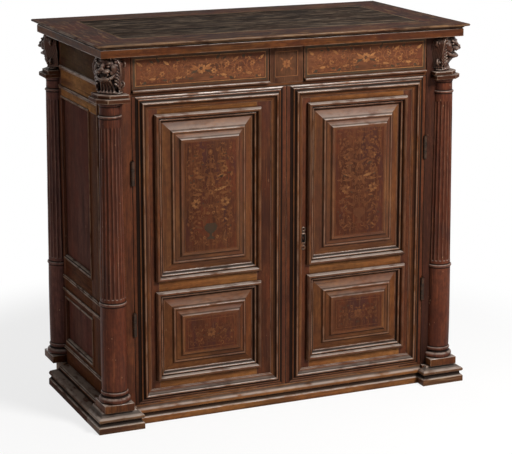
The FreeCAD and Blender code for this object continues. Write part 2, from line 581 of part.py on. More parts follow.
# Doors: stiles and rails, a planted edge moulding, and two raised panels in bolection frames.
door_edge = f"({hinge_x} - door_gap)"
door_y = (front, door_back)
door_z = (door_low, door_top)
panel_x = ("panel_inner", f"{door_edge} - panel_outer")
panels = {"upper": ("upper_bottom", f"({door_top} - upper_top_margin)"),
          "lower": ("lower_bottom", "(upper_bottom - panel_spacing)")}
opening_x = (f"{panel_x[0]} + bolection_seat", f"{panel_x[1]} - bolection_seat")
holes = {name: (f"{low} + bolection_seat", f"{high} - bolection_seat") for name, (low, high) in panels.items()}
hinge_mortises = fuse("door_mortises", mortises["door"])


def door_frame(side, meeting, cuts, place):
    # limits are measured outwards from the middle; place puts them on the door's own side
    return group(f"{side}_door_frame", [
        cut(f"{side}_hinge_stile", box(f"{side}_hinge_stile_blank", place(opening_x[1], door_edge), door_y, door_z),
            cuts),
        box(f"{side}_meeting_stile", place(meeting, opening_x[0]), door_y, door_z),
        box(f"{side}_top_rail", place(*opening_x), door_y, (holes["upper"][1], door_top)),
        box(f"{side}_mid_rail", place(*opening_x), door_y, (holes["lower"][1], holes["upper"][0])),
        box(f"{side}_bottom_rail", place(*opening_x), door_y, (door_low, holes["lower"][0]))])


door_frame("right", "meeting_offset + meeting_gap/2", hinge_mortises, lambda low, high: (low, high))
door_frame("left", "meeting_gap/2 - meeting_offset", mirror("left_door_mortises", hinge_mortises, axis_x),
           lambda low, high: (f"0 - ({high})", f"0 - ({low})"))

edge_profile = [("0", "0"), ("0", "edge_shoulder"), ("edge_nose_start", "edge_proud"),
                ("edge_nose_end", "edge_proud"), ("edge_hollow", "edge_hollow_rise"),
                ("edge_width", "edge_inner_rise"), ("edge_width", "0")]
moulding_frame("right_door_edge_moulding", edge_profile, "edge_width", ("0", "edge_proud"),
               ("edge_inner", f"{door_edge} - edge_hinge_margin"),
               (f"{door_low} + edge_bottom_margin", f"{door_top} - edge_top_margin"), front, "front")

bolection = [("0", "0"), ("0", "bolection_shoulder"), ("bolection_nose_start", "bolection_proud"),
             ("bolection_nose_end", "bolection_proud"), ("bolection_hollow", "bolection_hollow_rise"),
             ("bolection_width", "0"), ("bolection_width", "0 - panel_sink"),
             ("bolection_seat", "0 - panel_sink"), ("bolection_seat", "0")]


def raised_panel(name, x, z, hole):
    # flat board in the frame's opening, with a bevelled field stepping up to a tablet
    board_y = (f"{front} + panel_sink", f"{front} + panel_sink + panel_thickness")
    parts = [box(f"{name}_board", opening_x, board_y, hole)]
    steps = [("bolection_width", "0 - panel_sink"), ("field_edge", "field_rise"), ("step_edge", "step_rise"),
             ("slope_edge", "slope_rise"), ("tablet_edge", "tablet_rise")]
    for i in range(len(steps) - 1):
        rings = []
        for edge, _ in steps[i:i + 2]:
            rings.append((f"{x[0]} + {edge}", f"{x[1]} - {edge}", f"{z[0]} + {edge}", f"{z[1]} - {edge}"))
        parts.append(frustum(f"{name}_step_{i}", rings[0], rings[1],
                             (f"{front} - {steps[i + 1][1]}", f"{front} - ({steps[i][1]})")))
    return fuse(name, parts)


for name, limits in panels.items():
    moulding_frame(f"right_door_{name}_moulding", bolection, "bolection_width",
                   ("0 - panel_sink", "bolection_proud"), panel_x, limits, front, "front")
    raised_panel(f"right_door_{name}_panel", panel_x, limits, holes[name])
for node in ("edge_moulding", "upper_moulding", "lower_moulding", "upper_panel", "lower_panel"):
    mirror(f"left_door_{node}", doc.getObject(f"right_door_{node}"), axis_x)

# Lock on the right door: escutcheon outside, hollow case inside, sliding bolt, keep on the left door.
plate = doc.addObject("PartDesign::Body", "escutcheon")
plane = [item for item in plate.Origin.OriginFeatures if item.Role == "XZ_Plane"][0]


def plate_sketch(name, width, height):
    sketch = plate.newObject("Sketcher::SketchObject", name)
    sketch.AttachmentSupport = (plane, [""])
    sketch.MapMode = "FlatFace"
    wide = sheet.evalExpression(bound(width)) / 2
    high = sheet.evalExpression(bound(height)) / 2
    ends = [(-wide, -high), (wide, -high), (wide, high), (-wide, high)]
    for i in range(4):
        start = FreeCAD.Vector(*ends[i], 0)
        sketch.addGeometry(Part.LineSegment(start, FreeCAD.Vector(*ends[(i + 1) % 4], 0)), False)
    for i in range(4):
        sketch.addConstraint(Sketcher.Constraint("Coincident", i, 2, (i + 1) % 4, 1))
    for i, kind in enumerate(("Horizontal", "Vertical", "Horizontal", "Vertical")):
        sketch.addConstraint(Sketcher.Constraint(kind, i))
    sketch.addConstraint(Sketcher.Constraint("Symmetric", 0, 1, 2, 1, -1, 1))
    across_index = sketch.addConstraint(Sketcher.Constraint("DistanceX", 0, 1, 0, 2, 2 * wide))
    up_index = sketch.addConstraint(Sketcher.Constraint("DistanceY", 1, 1, 1, 2, 2 * high))
    sketch.setExpression(f"Constraints[{across_index}]", bound(width))
    sketch.setExpression(f"Constraints[{up_index}]", bound(height))
    return sketch


pad = plate.newObject("PartDesign::Pad", "escutcheon_plate")
pad.Profile = plate_sketch("plate_outline", "escutcheon_width", "escutcheon_height")
bind(pad, Length="escutcheon_thickness")
doc.recompute()
keyhole = plate.newObject("PartDesign::Pocket", "escutcheon_keyhole")
keyhole.Profile = plate_sketch("keyhole_outline", "keyhole_width", "keyhole_height")
keyhole.Type = "ThroughAll"
keyhole.Midplane = True
bind(plate, Placement__Base__x="lock_centre", Placement__Base__y=front, Placement__Base__z="lock_level")

bolt_middle = f"({door_back} + lock_depth/2)"
bolt_y = (f"{bolt_middle} - bolt_depth/2", f"{bolt_middle} + bolt_depth/2")
bolt_z = ("lock_level - bolt_width/2", "lock_level + bolt_width/2")
bolt_start = "(meeting_offset + meeting_gap/2 + bolt_rest)"
box("lock_bolt", (bolt_start, f"{bolt_start} + bolt_length"), bolt_y, bolt_z)
case_x = (f"{bolt_start} + bolt_rest", f"{bolt_start} + bolt_rest + lock_width")
case_y = (door_back, f"{door_back} + lock_depth")
case_z = ("lock_level - lock_height/2", "lock_level + lock_height/2")
case_blank = box("lock_case_blank", case_x, case_y, case_z)
case_hole = box("lock_case_hole", (f"{case_x[0]} + lock_wall", f"{case_x[1]} - lock_wall"),
                (door_back, f"{case_y[1]} - lock_wall"), (f"{case_z[0]} + lock_wall", f"{case_z[1]} - lock_wall"))
case_slot = box("lock_case_slot", (case_x[0], f"{case_x[0]} + lock_wall"),
                (f"{bolt_y[0]} - bolt_clearance", f"{bolt_y[1]} + bolt_clearance"),
                (f"{bolt_z[0]} - bolt_clearance", f"{bolt_z[1]} + bolt_clearance"))
cut("lock_case", case_blank, fuse("lock_case_room", [case_hole, case_slot]))

keep_edge = "(meeting_offset - meeting_gap/2 - keep_reach)"
keep_x = (f"{keep_edge} - keep_width", keep_edge)
keep_room_y = f"({bolt_y[1]} + keep_clearance)"
keep_y = (door_back, f"{keep_room_y} + keep_wall")
keep_room_z = (f"({bolt_z[0]} - keep_clearance)", f"({bolt_z[1]} + keep_clearance)")
group("door_keep", [
    box("keep_foot", keep_x, keep_y, (f"{keep_room_z[0]} - keep_wall", keep_room_z[0])),
    box("keep_head", keep_x, keep_y, (keep_room_z[1], f"{keep_room_z[1]} + keep_wall")),
    box("keep_bridge", keep_x, (keep_room_y, keep_y[1]), keep_room_z)])

# Inside bolt of the left door: a flat bar in two staples, which rises behind the drawer blade.
bar_x = ("0 - inside_bolt_centre - inside_bolt_width/2", "inside_bolt_width/2 - inside_bolt_centre")
bar_y = (f"{door_back} + bolt_clearance", f"{door_back} + bolt_clearance + inside_bolt_depth")
bar_top = f"({blade_low} - inside_bolt_drop)"
bar_low = f"({bar_top} - inside_bolt_length)"
bar = box("inside_bar", bar_x, bar_y, (bar_low, bar_top))
knob = doc.addObject("Part::Cylinder", "bar_knob")
knob.Placement = FreeCAD.Placement(FreeCAD.Vector(), FreeCAD.Rotation(axis_x, -90))
bind(knob, Radius="bolt_knob_radius", Height="bolt_knob_length")
bind(knob, Placement__Base__x="0 - inside_bolt_centre", Placement__Base__y=bar_y[0],
     Placement__Base__z=f"{bar_top} - inside_bolt_length/2")
fuse("inside_bolt", [bar, knob])
gap_x = (f"{bar_x[0]} - bolt_clearance", f"{bar_x[1]} + bolt_clearance")
staple_x = (f"{gap_x[0]} - guide_wall", f"{gap_x[1]} + guide_wall")
gap_y = f"{bar_y[1]} + bolt_clearance"
staples = []
for i, distance in enumerate(("guide_first", "guide_second")):
    low = f"({bar_low} + {distance} - guide_height/2)"
    z = (low, f"{low} + guide_height")
    staples.append(box(f"staple_{i}_a", (staple_x[0], gap_x[0]), (door_back, gap_y), z))
    staples.append(box(f"staple_{i}_b", (gap_x[1], staple_x[1]), (door_back, gap_y), z))
    staples.append(box(f"staple_{i}_bridge", staple_x, (gap_y, f"{gap_y} + guide_wall"), z))
group("bolt_guides", staples)

doc.recompute()

nodes = [
    "top_field", "top_border", "top_cornice", "corner_posts", "column_slabs", "abacus_plates",
    "column_front_left", "column_front_right", "column_rear_left", "column_rear_right",
    "lion_front_left", "lion_front_right", "lion_rear_left", "lion_rear_right",
    "left_side_frame", "right_side_frame", "left_side_panels", "right_side_panels",
    "left_side_mouldings", "right_side_mouldings", "side_beads", "back_rails", "back_planks",
    "floor_boards", "shelf", "shelf_bearers", "drawer_blade", "centre_block", "drawer_runners",
    "base_blocks", "plinth_front", "plinth_sides", "rear_feet", "hinge_frame_leaves", "hinge_pins",
    "left_drawer_front", "left_drawer_box", "right_drawer_front", "right_drawer_box",
    "left_door_frame", "left_door_edge_moulding", "left_door_upper_panel", "left_door_upper_moulding",
    "left_door_lower_panel", "left_door_lower_moulding", "left_door_hinges", "door_keep",
    "bolt_guides", "inside_bolt",
    "right_door_frame", "right_door_edge_moulding", "right_door_upper_panel", "right_door_upper_moulding",
    "right_door_lower_panel", "right_door_lower_moulding", "right_door_hinges", "escutcheon",
    "lock_case", "lock_bolt",
]
faults = [item.Name for item in doc.Objects if {"Invalid", "Error"} & set(item.State)]
for node in nodes:
    piece = doc.getObject(node)
    piece.Label = node
    if piece.Shape.isNull() or not piece.Shape.isValid() or piece.Shape.Volume <= 0:
        faults.append(node)
if faults:
    raise RuntimeError("failed pieces: " + ", ".join(sorted(set(faults))))
for node in nodes:
    doc.getObject(node).Shape.exportStep(f"parts/{node}.step")
print(len(nodes), "nodes written")
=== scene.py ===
import bmesh
import bpy
import json
import math
import random
from mathutils import Matrix, Vector, noise

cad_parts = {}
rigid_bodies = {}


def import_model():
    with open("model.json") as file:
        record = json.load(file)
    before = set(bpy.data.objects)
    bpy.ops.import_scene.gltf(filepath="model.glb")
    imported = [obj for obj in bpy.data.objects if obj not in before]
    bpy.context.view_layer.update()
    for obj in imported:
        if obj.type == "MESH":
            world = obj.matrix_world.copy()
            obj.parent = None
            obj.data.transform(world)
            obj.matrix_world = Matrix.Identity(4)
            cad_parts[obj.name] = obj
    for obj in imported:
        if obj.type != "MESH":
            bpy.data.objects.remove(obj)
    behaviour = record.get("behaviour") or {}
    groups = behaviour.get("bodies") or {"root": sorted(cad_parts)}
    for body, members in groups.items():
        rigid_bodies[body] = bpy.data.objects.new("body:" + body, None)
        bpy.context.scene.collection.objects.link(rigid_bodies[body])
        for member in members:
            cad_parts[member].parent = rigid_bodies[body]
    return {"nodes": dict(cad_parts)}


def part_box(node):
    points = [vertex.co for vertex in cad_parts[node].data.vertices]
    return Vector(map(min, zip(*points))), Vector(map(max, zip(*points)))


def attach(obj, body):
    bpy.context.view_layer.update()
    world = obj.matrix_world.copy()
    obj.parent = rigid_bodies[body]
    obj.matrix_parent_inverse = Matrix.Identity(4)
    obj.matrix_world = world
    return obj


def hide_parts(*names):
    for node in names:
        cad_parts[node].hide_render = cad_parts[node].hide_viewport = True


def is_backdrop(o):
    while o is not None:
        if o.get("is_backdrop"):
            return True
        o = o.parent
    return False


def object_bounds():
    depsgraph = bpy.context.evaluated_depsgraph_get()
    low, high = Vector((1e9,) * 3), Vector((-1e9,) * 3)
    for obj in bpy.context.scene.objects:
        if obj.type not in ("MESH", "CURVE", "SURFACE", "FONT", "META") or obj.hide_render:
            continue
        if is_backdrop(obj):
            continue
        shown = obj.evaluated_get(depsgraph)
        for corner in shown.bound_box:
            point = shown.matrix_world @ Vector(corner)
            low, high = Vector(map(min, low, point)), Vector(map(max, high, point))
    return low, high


for leftover in list(bpy.data.objects):
    bpy.data.objects.remove(leftover)
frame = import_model()
cadLow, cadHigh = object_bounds()
dice = random.Random(7)
mm = 0.001  # every size below is in millimetres, the scene in metres
fullTurn = 2 * math.pi
bothSides = (("left", -1), ("right", 1))
finishes = {}
print("frame loaded,", len(frame["nodes"]), "nodes")


def boxOf(node):
    low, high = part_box(node)
    return [c / mm for c in low], [c / mm for c in high]


# finishes

class Wire:
    # one socket of a shader tree; sums on it add Math nodes
    def __init__(self, tree, socket=None):
        self.tree = tree
        self.socket = socket

    def node(self, kind, settings, sockets, out=0):
        made = self.tree.nodes.new(kind)
        for key, value in settings.items():
            if key == "stops":
                ramp = made.color_ramp
                while len(ramp.elements) < len(value):
                    ramp.elements.new(1)
                for element, (place, colour) in zip(ramp.elements, value):
                    element.position = place
                    element.color = colour
            else:
                setattr(made, key, value)
        for key, value in sockets.items():
            if isinstance(value, Wire):
                self.tree.links.new(value.socket, made.inputs[key])
            else:
                made.inputs[key].default_value = value
        return Wire(self.tree, made.outputs[out])

    def maths(self, operation, a, b):
        return self.node("ShaderNodeMath", {"operation": operation}, {0: a, 1: b})

    def __add__(self, other):
        return self.maths("ADD", self, other)

    def __radd__(self, other):
        return self.maths("ADD", other, self)

    def __sub__(self, other):
        return self.maths("SUBTRACT", self, other)

    def __rsub__(self, other):
        return self.maths("SUBTRACT", other, self)

    def __mul__(self, other):
        return self.maths("MULTIPLY", self, other)

    def __rmul__(self, other):
        return self.maths("MULTIPLY", other, self)


def newFinish(name):
    material = bpy.data.materials.new(name)
    material.use_nodes = True
    material.node_tree.nodes.clear()
    finishes[name] = material
    return Wire(material.node_tree)


def blend(root, a, b, share):
    # colours are written without their alpha
    a, b = (c if isinstance(c, Wire) else (*c, 1) for c in (a, b))
    return root.node("ShaderNodeMix", {"data_type": "RGBA"}, {0: share, 6: a, 7: b}, 2)


def between(root, value, low, high):
    settings = {"interpolation_type": "SMOOTHSTEP"}
    return root.node("ShaderNodeMapRange", settings, {0: value, 1: low, 2: high})


def speckle(root, place, scale, detail=2.0, distortion=0.0):
    stretched = root.node("ShaderNodeVectorMath", {"operation": "MULTIPLY"}, {0: place, 1: scale})
    sockets = {"Vector": stretched, "Scale": 1.0, "Detail": detail, "Distortion": distortion}
    return root.node("ShaderNodeTexNoise", {}, sockets)


def carried(root, name, out):
    return root.node("ShaderNodeAttribute", {"attribute_name": name}, {}, out)


def ownPlace(root):
    return root.node("ShaderNodeTexCoord", {}, {}, "Object")


def bumped(root, height, strength, distance):
    return root.node("ShaderNodeBump", {}, {"Height": height, "Strength": strength, "Distance": distance})


def showAs(root, shader, kind="ShaderNodeOutputMaterial"):
    output = root.tree.nodes.new(kind)
    root.tree.links.new(shader.socket, output.inputs["Surface"])


def surface(root, sockets):
    showAs(root, root.node("ShaderNodeBsdfPrincipled", {}, sockets))


woodLook = {  # colours in thousandths; the tones are dark, mid, light and red
    "tones": ((34, 11.5, 4.8), (98, 34, 11.5), (180, 70, 21), (90, 21, 8.5)),
    # the near-black colour darkens cracks, which are real, hollows, as grime and painted shade, and occluded
    # nooks, as painted shade
    "worn": (270, 150, 85), "grime": (4.2, 2.6, 2), "dust": (385, 325, 285), "blotch": (30, 10, 7.5),
    "lightShare": 0.5, "redShare": 0.45, "mottleShare": 0.42, "poreShare": 0.55, "wearShare": 0.35,
    "grimeShare": 0.92, "dustShare": 0.62, "splitShare": 0.45, "fleckShare": 0.3, "blotchShare": 0.35,
    "nookShare": 0.85, "occlusionShadeReach": 0.018, "scuffShare": 0.06, "scuffGrain": (11, 85, 85), "scuffFrom": 0.6,
    "roughness": 0.44, "gloss": 0.07, "polish": 0.6, "bump": 0.5,
}
woodMarks = {  # stretch along and across the grain, detail, distortion, and from where to where it shows
    "figure": ((3.5, 24, 24), 4, 1.1, 0.28, 0.60), "fibre": ((8, 260, 260), 3, 0, 0.44, 0.80),
    "pore": ((45, 1500, 1500), 1, 0, 0.56, 0.70), "patina": ((6, 11, 11), 3, 0, 0.40, 0.64),
    "patch": ((26, 60, 60), 4, 0, 0.30, 0.58), "mottle": ((60, 110, 110), 3, 0, 0.36, 0.66),
    "blotch": ((5, 19, 19), 6, 0.9, 0.48, 0.66), "split": ((1.6, 150, 150), 2, 0, 0.70, 0.74),
    "fleck": ((70, 170, 170), 1, 0, 0.76, 0.79),
}
boardTurn = {0: (0, 0, 0), 1: (0, 0, -math.pi / 2), 2: (0, math.pi / 2, 0)}


def woodFinish(name, changes, axis=None):
    look = {**woodLook, **changes}
    root = newFinish(name)
    if axis is None:  # a piece made here carries its grain and wear with it
        grain, wear = carried(root, "grain", "Vector"), carried(root, "wear", "Fac")
    else:  # a carried-over board: grain along one axis of its own
        grain = root.node("ShaderNodeMapping", {}, {"Vector": ownPlace(root), "Rotation": boardTurn[axis]})
        wear = speckle(root, grain, (9, 9, 9), 3) - 0.45
    paint = dict(zip(("dark", "mid", "light", "red"), look["tones"]))
    paint.update((key, look[key]) for key in ("worn", "grime", "dust", "blotch"))
    paint = {key: [c / 1000 for c in colour] for key, colour in paint.items()}
    raw = {mark: speckle(root, grain, *row[:3]) for mark, row in woodMarks.items()}
    shown = {mark: between(root, raw[mark], *row[3:]) for mark, row in woodMarks.items()}
    fibre, pore, patch, split = raw["fibre"], raw["pore"], raw["patch"], shown["split"]
    scuffs = speckle(root, grain, look["scuffGrain"], 6, 0.8)
    rubbed = between(root, wear, 0.1, 0.9) * shown["patch"]
    # negative wear in hollows and corners darkens toward near-black: grime and painted shade
    hollowGrimeAndShade = between(root, 0 - wear, 0.06, 0.70)
    normal = root.node("ShaderNodeNewGeometry", {}, {}, "Normal")
    upward = root.node("ShaderNodeSeparateXYZ", {}, {0: normal}, "Z")
    # ambient occlusion darkens nooks and gaps between parts: painted shade
    occlusionShade = root.node("ShaderNodeAmbientOcclusion", {"samples": 5}, {"Distance": look["occlusionShadeReach"]}, "AO")
    colour = blend(root, paint["dark"], paint["mid"], shown["figure"])
    for shade, mask, share in (  # each coat lies over the ones before it
            ("light", shown["fibre"], "lightShare"), ("red", shown["patina"], "redShare"),
            ("dark", shown["mottle"], "mottleShare"), ("dark", shown["pore"], "poreShare"),
            ("blotch", shown["blotch"], "blotchShare"), ("grime", split, "splitShare"),
            ("worn", shown["fleck"], "fleckShare"),
            ("worn", between(root, scuffs, look["scuffFrom"], look["scuffFrom"] + 0.16), "scuffShare"),
            ("worn", rubbed, "wearShare"),
            # upward faces turn pale and grey: dust and painted sheen
            ("dust", between(root, upward, 0.15, 0.75) * between(root, patch, 0.22, 0.56), "dustShare"),
            # the last two coats darken hollows, as grime and painted shade, and occluded nooks, as painted shade
            ("grime", hollowGrimeAndShade, "grimeShare"), ("grime", between(root, 1 - occlusionShade, 0.22, 0.80), "nookShare")):
        colour = blend(root, colour, paint[shade], mask * look[share])
    height = fibre * 0.5 + pore * 0.35 - split * 1.5 + patch * 0.5
    surface(root, {
        "Base Color": colour,
        "Roughness": patch * 0.22 + fibre * 0.10 + hollowGrimeAndShade * 0.3 - rubbed * 0.12 + (look["roughness"] - 0.12),
        "Specular IOR Level": look["gloss"], "Coat Weight": rubbed * look["polish"], "Coat Roughness": 0.24,
        "Normal": bumped(root, height, look["bump"], 0.0007)})


ironLook = {"skin": (0.036, 0.024, 0.018), "rust": (0.055, 0.025, 0.013), "bright": (0.085, 0.066, 0.052)}


def ironFinish(name, shade=1.0):
    root = newFinish(name)
    tone = {key: [c * shade for c in colour] for key, colour in ironLook.items()}
    rust = between(root, speckle(root, ownPlace(root), (90, 90, 90), 4), 0.42, 0.66)
    pittingAndGlints = speckle(root, ownPlace(root), (700, 700, 700), 2)
    colour = blend(root, tone["skin"], tone["rust"], rust)
    # the lighter specks over the pitting are painted glints; the pitting also bumps the surface
    colour = blend(root, colour, tone["bright"], between(root, pittingAndGlints, 0.56, 0.75) * 0.5)
    surface(root, {"Base Color": colour, "Metallic": 0.75 - rust * 0.6, "Roughness": 0.42 + rust * 0.3,
                   "Specular IOR Level": 0.2, "Normal": bumped(root, pittingAndGlints + rust * 0.4, 0.4, 0.0005)})


inlayLook = {
    "proud": 0.10, "depth": 0.6, "lift": 0.02, "layers": 13,
    "stops": [(0.0, (0.031, 0.024, 0.015)), (0.25, (0.04, 0.014, 0.007)), (0.5, (0.09, 0.03, 0.0115)),
              (0.75, (0.165, 0.064, 0.022)), (1.0, (0.29, 0.135, 0.048))],
}


def inlayFinish(name, ground, brightness, faded):
    # ground is the colour that the worn pieces have faded to, at least by the share faded
    root = newFinish(name)
    grain, tint = carried(root, "grain", "Vector"), carried(root, "tint", "Fac")
    stops = [(place, (*(c * brightness for c in colour), 1)) for place, colour in inlayLook["stops"]]
    fibre = speckle(root, grain, (14, 420, 420), 3)
    fade = between(root, speckle(root, grain, (55, 55, 55), 4), 0.34, 0.66)
    colour = root.node("ShaderNodeValToRGB", {"stops": stops}, {0: tint + fibre * 0.24 - 0.12})
    pale = between(root, tint, 0.04, 0.30) * 0.65 + 0.35  # dark pieces fade less
    colour = blend(root, colour, ground, (fade * 0.50 + faded) * pale)
    surface(root, {"Base Color": colour, "Roughness": 0.40 + fade * 0.16, "Specular IOR Level": woodLook["gloss"],
                   "Normal": bumped(root, fibre, 0.25, 0.0004)})


woodLooks = {  # what each wood changes in woodLook
    "walnut": {},
    "railWalnut": {"tones": ((76, 28.7, 9.6), (195, 76.5, 22.5), (345, 149, 39.5), (159, 46.5, 14.3))},
    "fieldWalnut": {"tones": ((52, 18, 6.8), (125, 45, 14.5), (215, 86, 24), (90, 21, 8.5)), "grimeShare": 0.55,
        "nookShare": 0.55, "gloss": 0.14, "dustShare": 0.72},
    "corniceWalnut": {"tones": ((28, 10.5, 5.5), (108, 39, 12.5), (215, 86, 23), (100, 26, 9.5)), "gloss": 0.03,
        "blotchShare": 0.75},
    "edgeWalnut": {"tones": ((45, 15, 5.8), (122, 42, 12.5), (220, 82, 21.5), (90, 21, 8.5))},
    "stileWalnut": {"tones": ((32, 10.5, 5.5), (88, 26.4, 11), (167, 54, 17.6), (90, 21, 8.5))},
    # a darker copy of the stile wood, for the right posts: painted shade
    "shadedPostWalnut": {"tones": ((18, 6.5, 4), (44, 14, 7.5), (88, 29, 12), (56, 13.5, 7))},
    "baseWalnut": {"tones": ((40, 16, 7.5), (120, 54, 23), (225, 112, 45), (100, 31, 13)),
        "worn": (300, 190, 105), "wearShare": 0.75, "scuffShare": 0.3},
    "redWalnut": {"tones": ((30, 10, 6.6), (88, 25, 13), (204, 64, 26), (90, 21, 8.5)), "lightShare": 0.65,
        "redShare": 0.6, "fleckShare": 0.9, "splitShare": 0.8, "blotchShare": 0.5, "dustShare": 0.42},
    # a lighter, purpler copy of the column wood, for the rear columns: painted light and reflection
    "litRearWalnut": {"tones": ((40, 18, 17), (119, 45, 34), (260, 105, 66), (110, 36, 23)), "fleckShare": 0.9,
        "splitShare": 0.8, "blotchShare": 0.5, "dustShare": 0.42},
    "panelWalnut": {"tones": ((30, 10.5, 5.5), (72, 22.5, 9.5), (150, 54, 18), (90, 21, 8.5)), "redShare": 0.6,
        "dustShare": 0.2, "polish": 0.3, "gloss": 0.06, "scuffShare": 0.3, "scuffGrain": (18, 60, 60),
        "worn": (170, 80, 36), "blotch": (34, 12.5, 11), "blotchShare": 0.65},
    "sideWalnut": {"tones": ((30, 9.5, 4.5), (85, 29, 11.5), (190, 78, 25), (75, 18, 8.5)),
        "dust": (380, 315, 265), "redShare": 0.5, "gloss": 0.006, "polish": 0.3, "dustShare": 0.65,
        "wearShare": 0.6},
    "sideRailWalnut": {"tones": ((90, 39, 16), (310, 139, 48), (500, 250, 84), (180, 60, 20.5)),
        "redShare": 0.5, "gloss": 0.006, "polish": 0.2, "blotchShare": 0.6},
    # a brighter copy of the side wood, for the bead: painted highlight
    "litBeadWalnut": {"tones": ((70, 34, 19), (170, 85, 45), (290, 165, 95), (90, 21, 8.5)), "gloss": 0.05,
        "dustShare": 0.85},
    "friezeWalnut": {"tones": ((24, 13, 7), (66, 36, 16), (120, 70, 30), (70, 24, 11)), "gloss": 0.006,
        "polish": 0.2, "blotchShare": 0.6},
    "sidePanelWalnut": {"tones": ((44.5, 17.5, 14.3), (104, 40.5, 28.6), (170, 69, 43), (108, 31, 21.5)),
        "redShare": 0.7, "gloss": 0.006, "polish": 0.2, "fleckShare": 0.6},
    "blockWalnut": {"tones": ((40, 16.5, 8.5), (90, 36, 17), (160, 73, 33), (95, 28, 13)), "dustShare": 0.2,
        "polish": 0.3, "gloss": 0.06, "scuffShare": 0.2},
    "drawerWalnut": {"tones": ((58, 22, 11), (138, 52, 23.5), (220, 94, 40), (140, 39, 18.5)), "dustShare": 0.2,
        "polish": 0.3, "gloss": 0.06, "scuffShare": 0.15},
    "topWalnut": {"tones": ((13, 11, 10.5), (48, 36, 29), (105, 82, 63), (52, 25, 15)), "worn": (235, 172, 122),
        "blotch": (7.5, 7.5, 9.5), "dustShare": 0.045, "roughness": 0.6, "gloss": 0.0, "polish": 0.0,
        "splitShare": 0.9, "redShare": 0.4, "wearShare": 0.8, "fleckShare": 0.8, "scuffShare": 0.58,
        "scuffGrain": (14, 95, 95), "scuffFrom": 0.5, "blotchShare": 0.55},
    "borderWalnut": {"tones": ((16, 8, 6.8), (50, 18.5, 11.5), (118, 48, 23), (72, 18, 9.5)),
        "worn": (220, 122, 55), "blotch": (11.5, 7.5, 8.5), "redShare": 0.7, "dustShare": 0.015,
        "roughness": 0.55, "gloss": 0.01, "polish": 0.35, "wearShare": 0.6, "scuffShare": 0.5,
        "scuffGrain": (15, 110, 110), "scuffFrom": 0.52, "blotchShare": 0.55},
    "lineWood": {"tones": ((80, 53, 29), (250, 175, 100), (380, 280, 165), (90, 21, 8.5)), "dustShare": 0.05,
        "gloss": 0.0, "polish": 0.0, "roughness": 0.6, "blotchShare": 0.8, "scuffShare": 0.4},
    "carvedWalnut": {"tones": ((34, 11.5, 4.8), (38, 15, 8.5), (76, 31, 16), (90, 21, 8.5)),
        "worn": (185, 108, 66), "wearShare": 0.6, "grimeShare": 0.97, "dustShare": 0.3, "roughness": 0.38,
        "gloss": 0.14, "polish": 0.8, "occlusionShadeReach": 0.016, "nookShare": 0.97},
    "abacusWalnut": {"tones": ((34, 11.5, 4.8), (62, 27, 14.5), (120, 58, 29), (90, 21, 8.5)),
        "worn": (230, 145, 92), "wearShare": 0.6, "dustShare": 0.4, "gloss": 0.015, "polish": 0.35},
    "plainWood": {"tones": ((60, 30, 15), (140, 72, 34), (240, 140, 72), (120, 55, 25)), "redShare": 0.2,
        "roughness": 0.6, "gloss": 0.1, "polish": 0.0, "dustShare": 0.2},
}
# lower fields: a copy of the field wood with less dust and painted sheen, so their slopes read less lit
woodLooks["lowFieldWalnut"] = {**woodLooks["fieldWalnut"], "dustShare": 0.36, "gloss": 0.08}
for name, look in woodLooks.items():
    woodFinish(name, look)
inlayFinish("inlay", (0.068, 0.0225, 0.009), 0.92, 0.25)
inlayFinish("fadedInlay", (0.078, 0.0265, 0.0112), 1.0, 0.48)
inlayFinish("drawerInlay", (0.13, 0.047, 0.0215), 1.32, 0.12)
# the near-black iron is painted shade in the keyhole opening
for name, shade in (("iron", 1.0), ("wornIron", 1.9), ("keyholeShadeIron", 0.12)):
    ironFinish(name, shade)
print("finishes ready")


# tools

def along(a, b, share):
    return a + (b - a) * share


def shares(low, high, count):
    # the ends of equal boards side by side
    return [(along(low, high, k / count), along(low, high, (k + 1) / count)) for k in range(count)]


def ringTurns(count):
    return [fullTurn * k / count for k in range(count)]


def newSeed():
    return Vector([dice.uniform(0, 9) for _ in range(3)])


def bow(p, q, rise, count=7):
    # points on an arc from p to q that rises to the left of the way from p to q
    p, q = Vector(p), Vector(q)
    way = q - p
    left = Vector((-way.y, way.x)).normalized()
    half = way.length / 2
    radius = (half * half + rise * rise) / (2 * abs(rise))
    reach = math.asin(min(1, half / radius))
    if abs(rise) > half:
        reach = math.pi - reach
    middle = (p + q) / 2 + left * (rise - math.copysign(radius, rise))
    sign = math.copysign(1, rise)
    points = []
    for i in range(count + 1):
        turn = along(-reach, reach, i / count)
        points.append(tuple(middle + way.normalized() * radius * math.sin(turn)
                            + left * sign * radius * math.cos(turn)))
    return points


edgeLook = {"corner": 0.5, "cut": 0.4, "loops": (2.2, 5.5), "near": 1.6, "nearTurn": 0.9, "wide": 4.5,
            "wideTurn": 1.1}


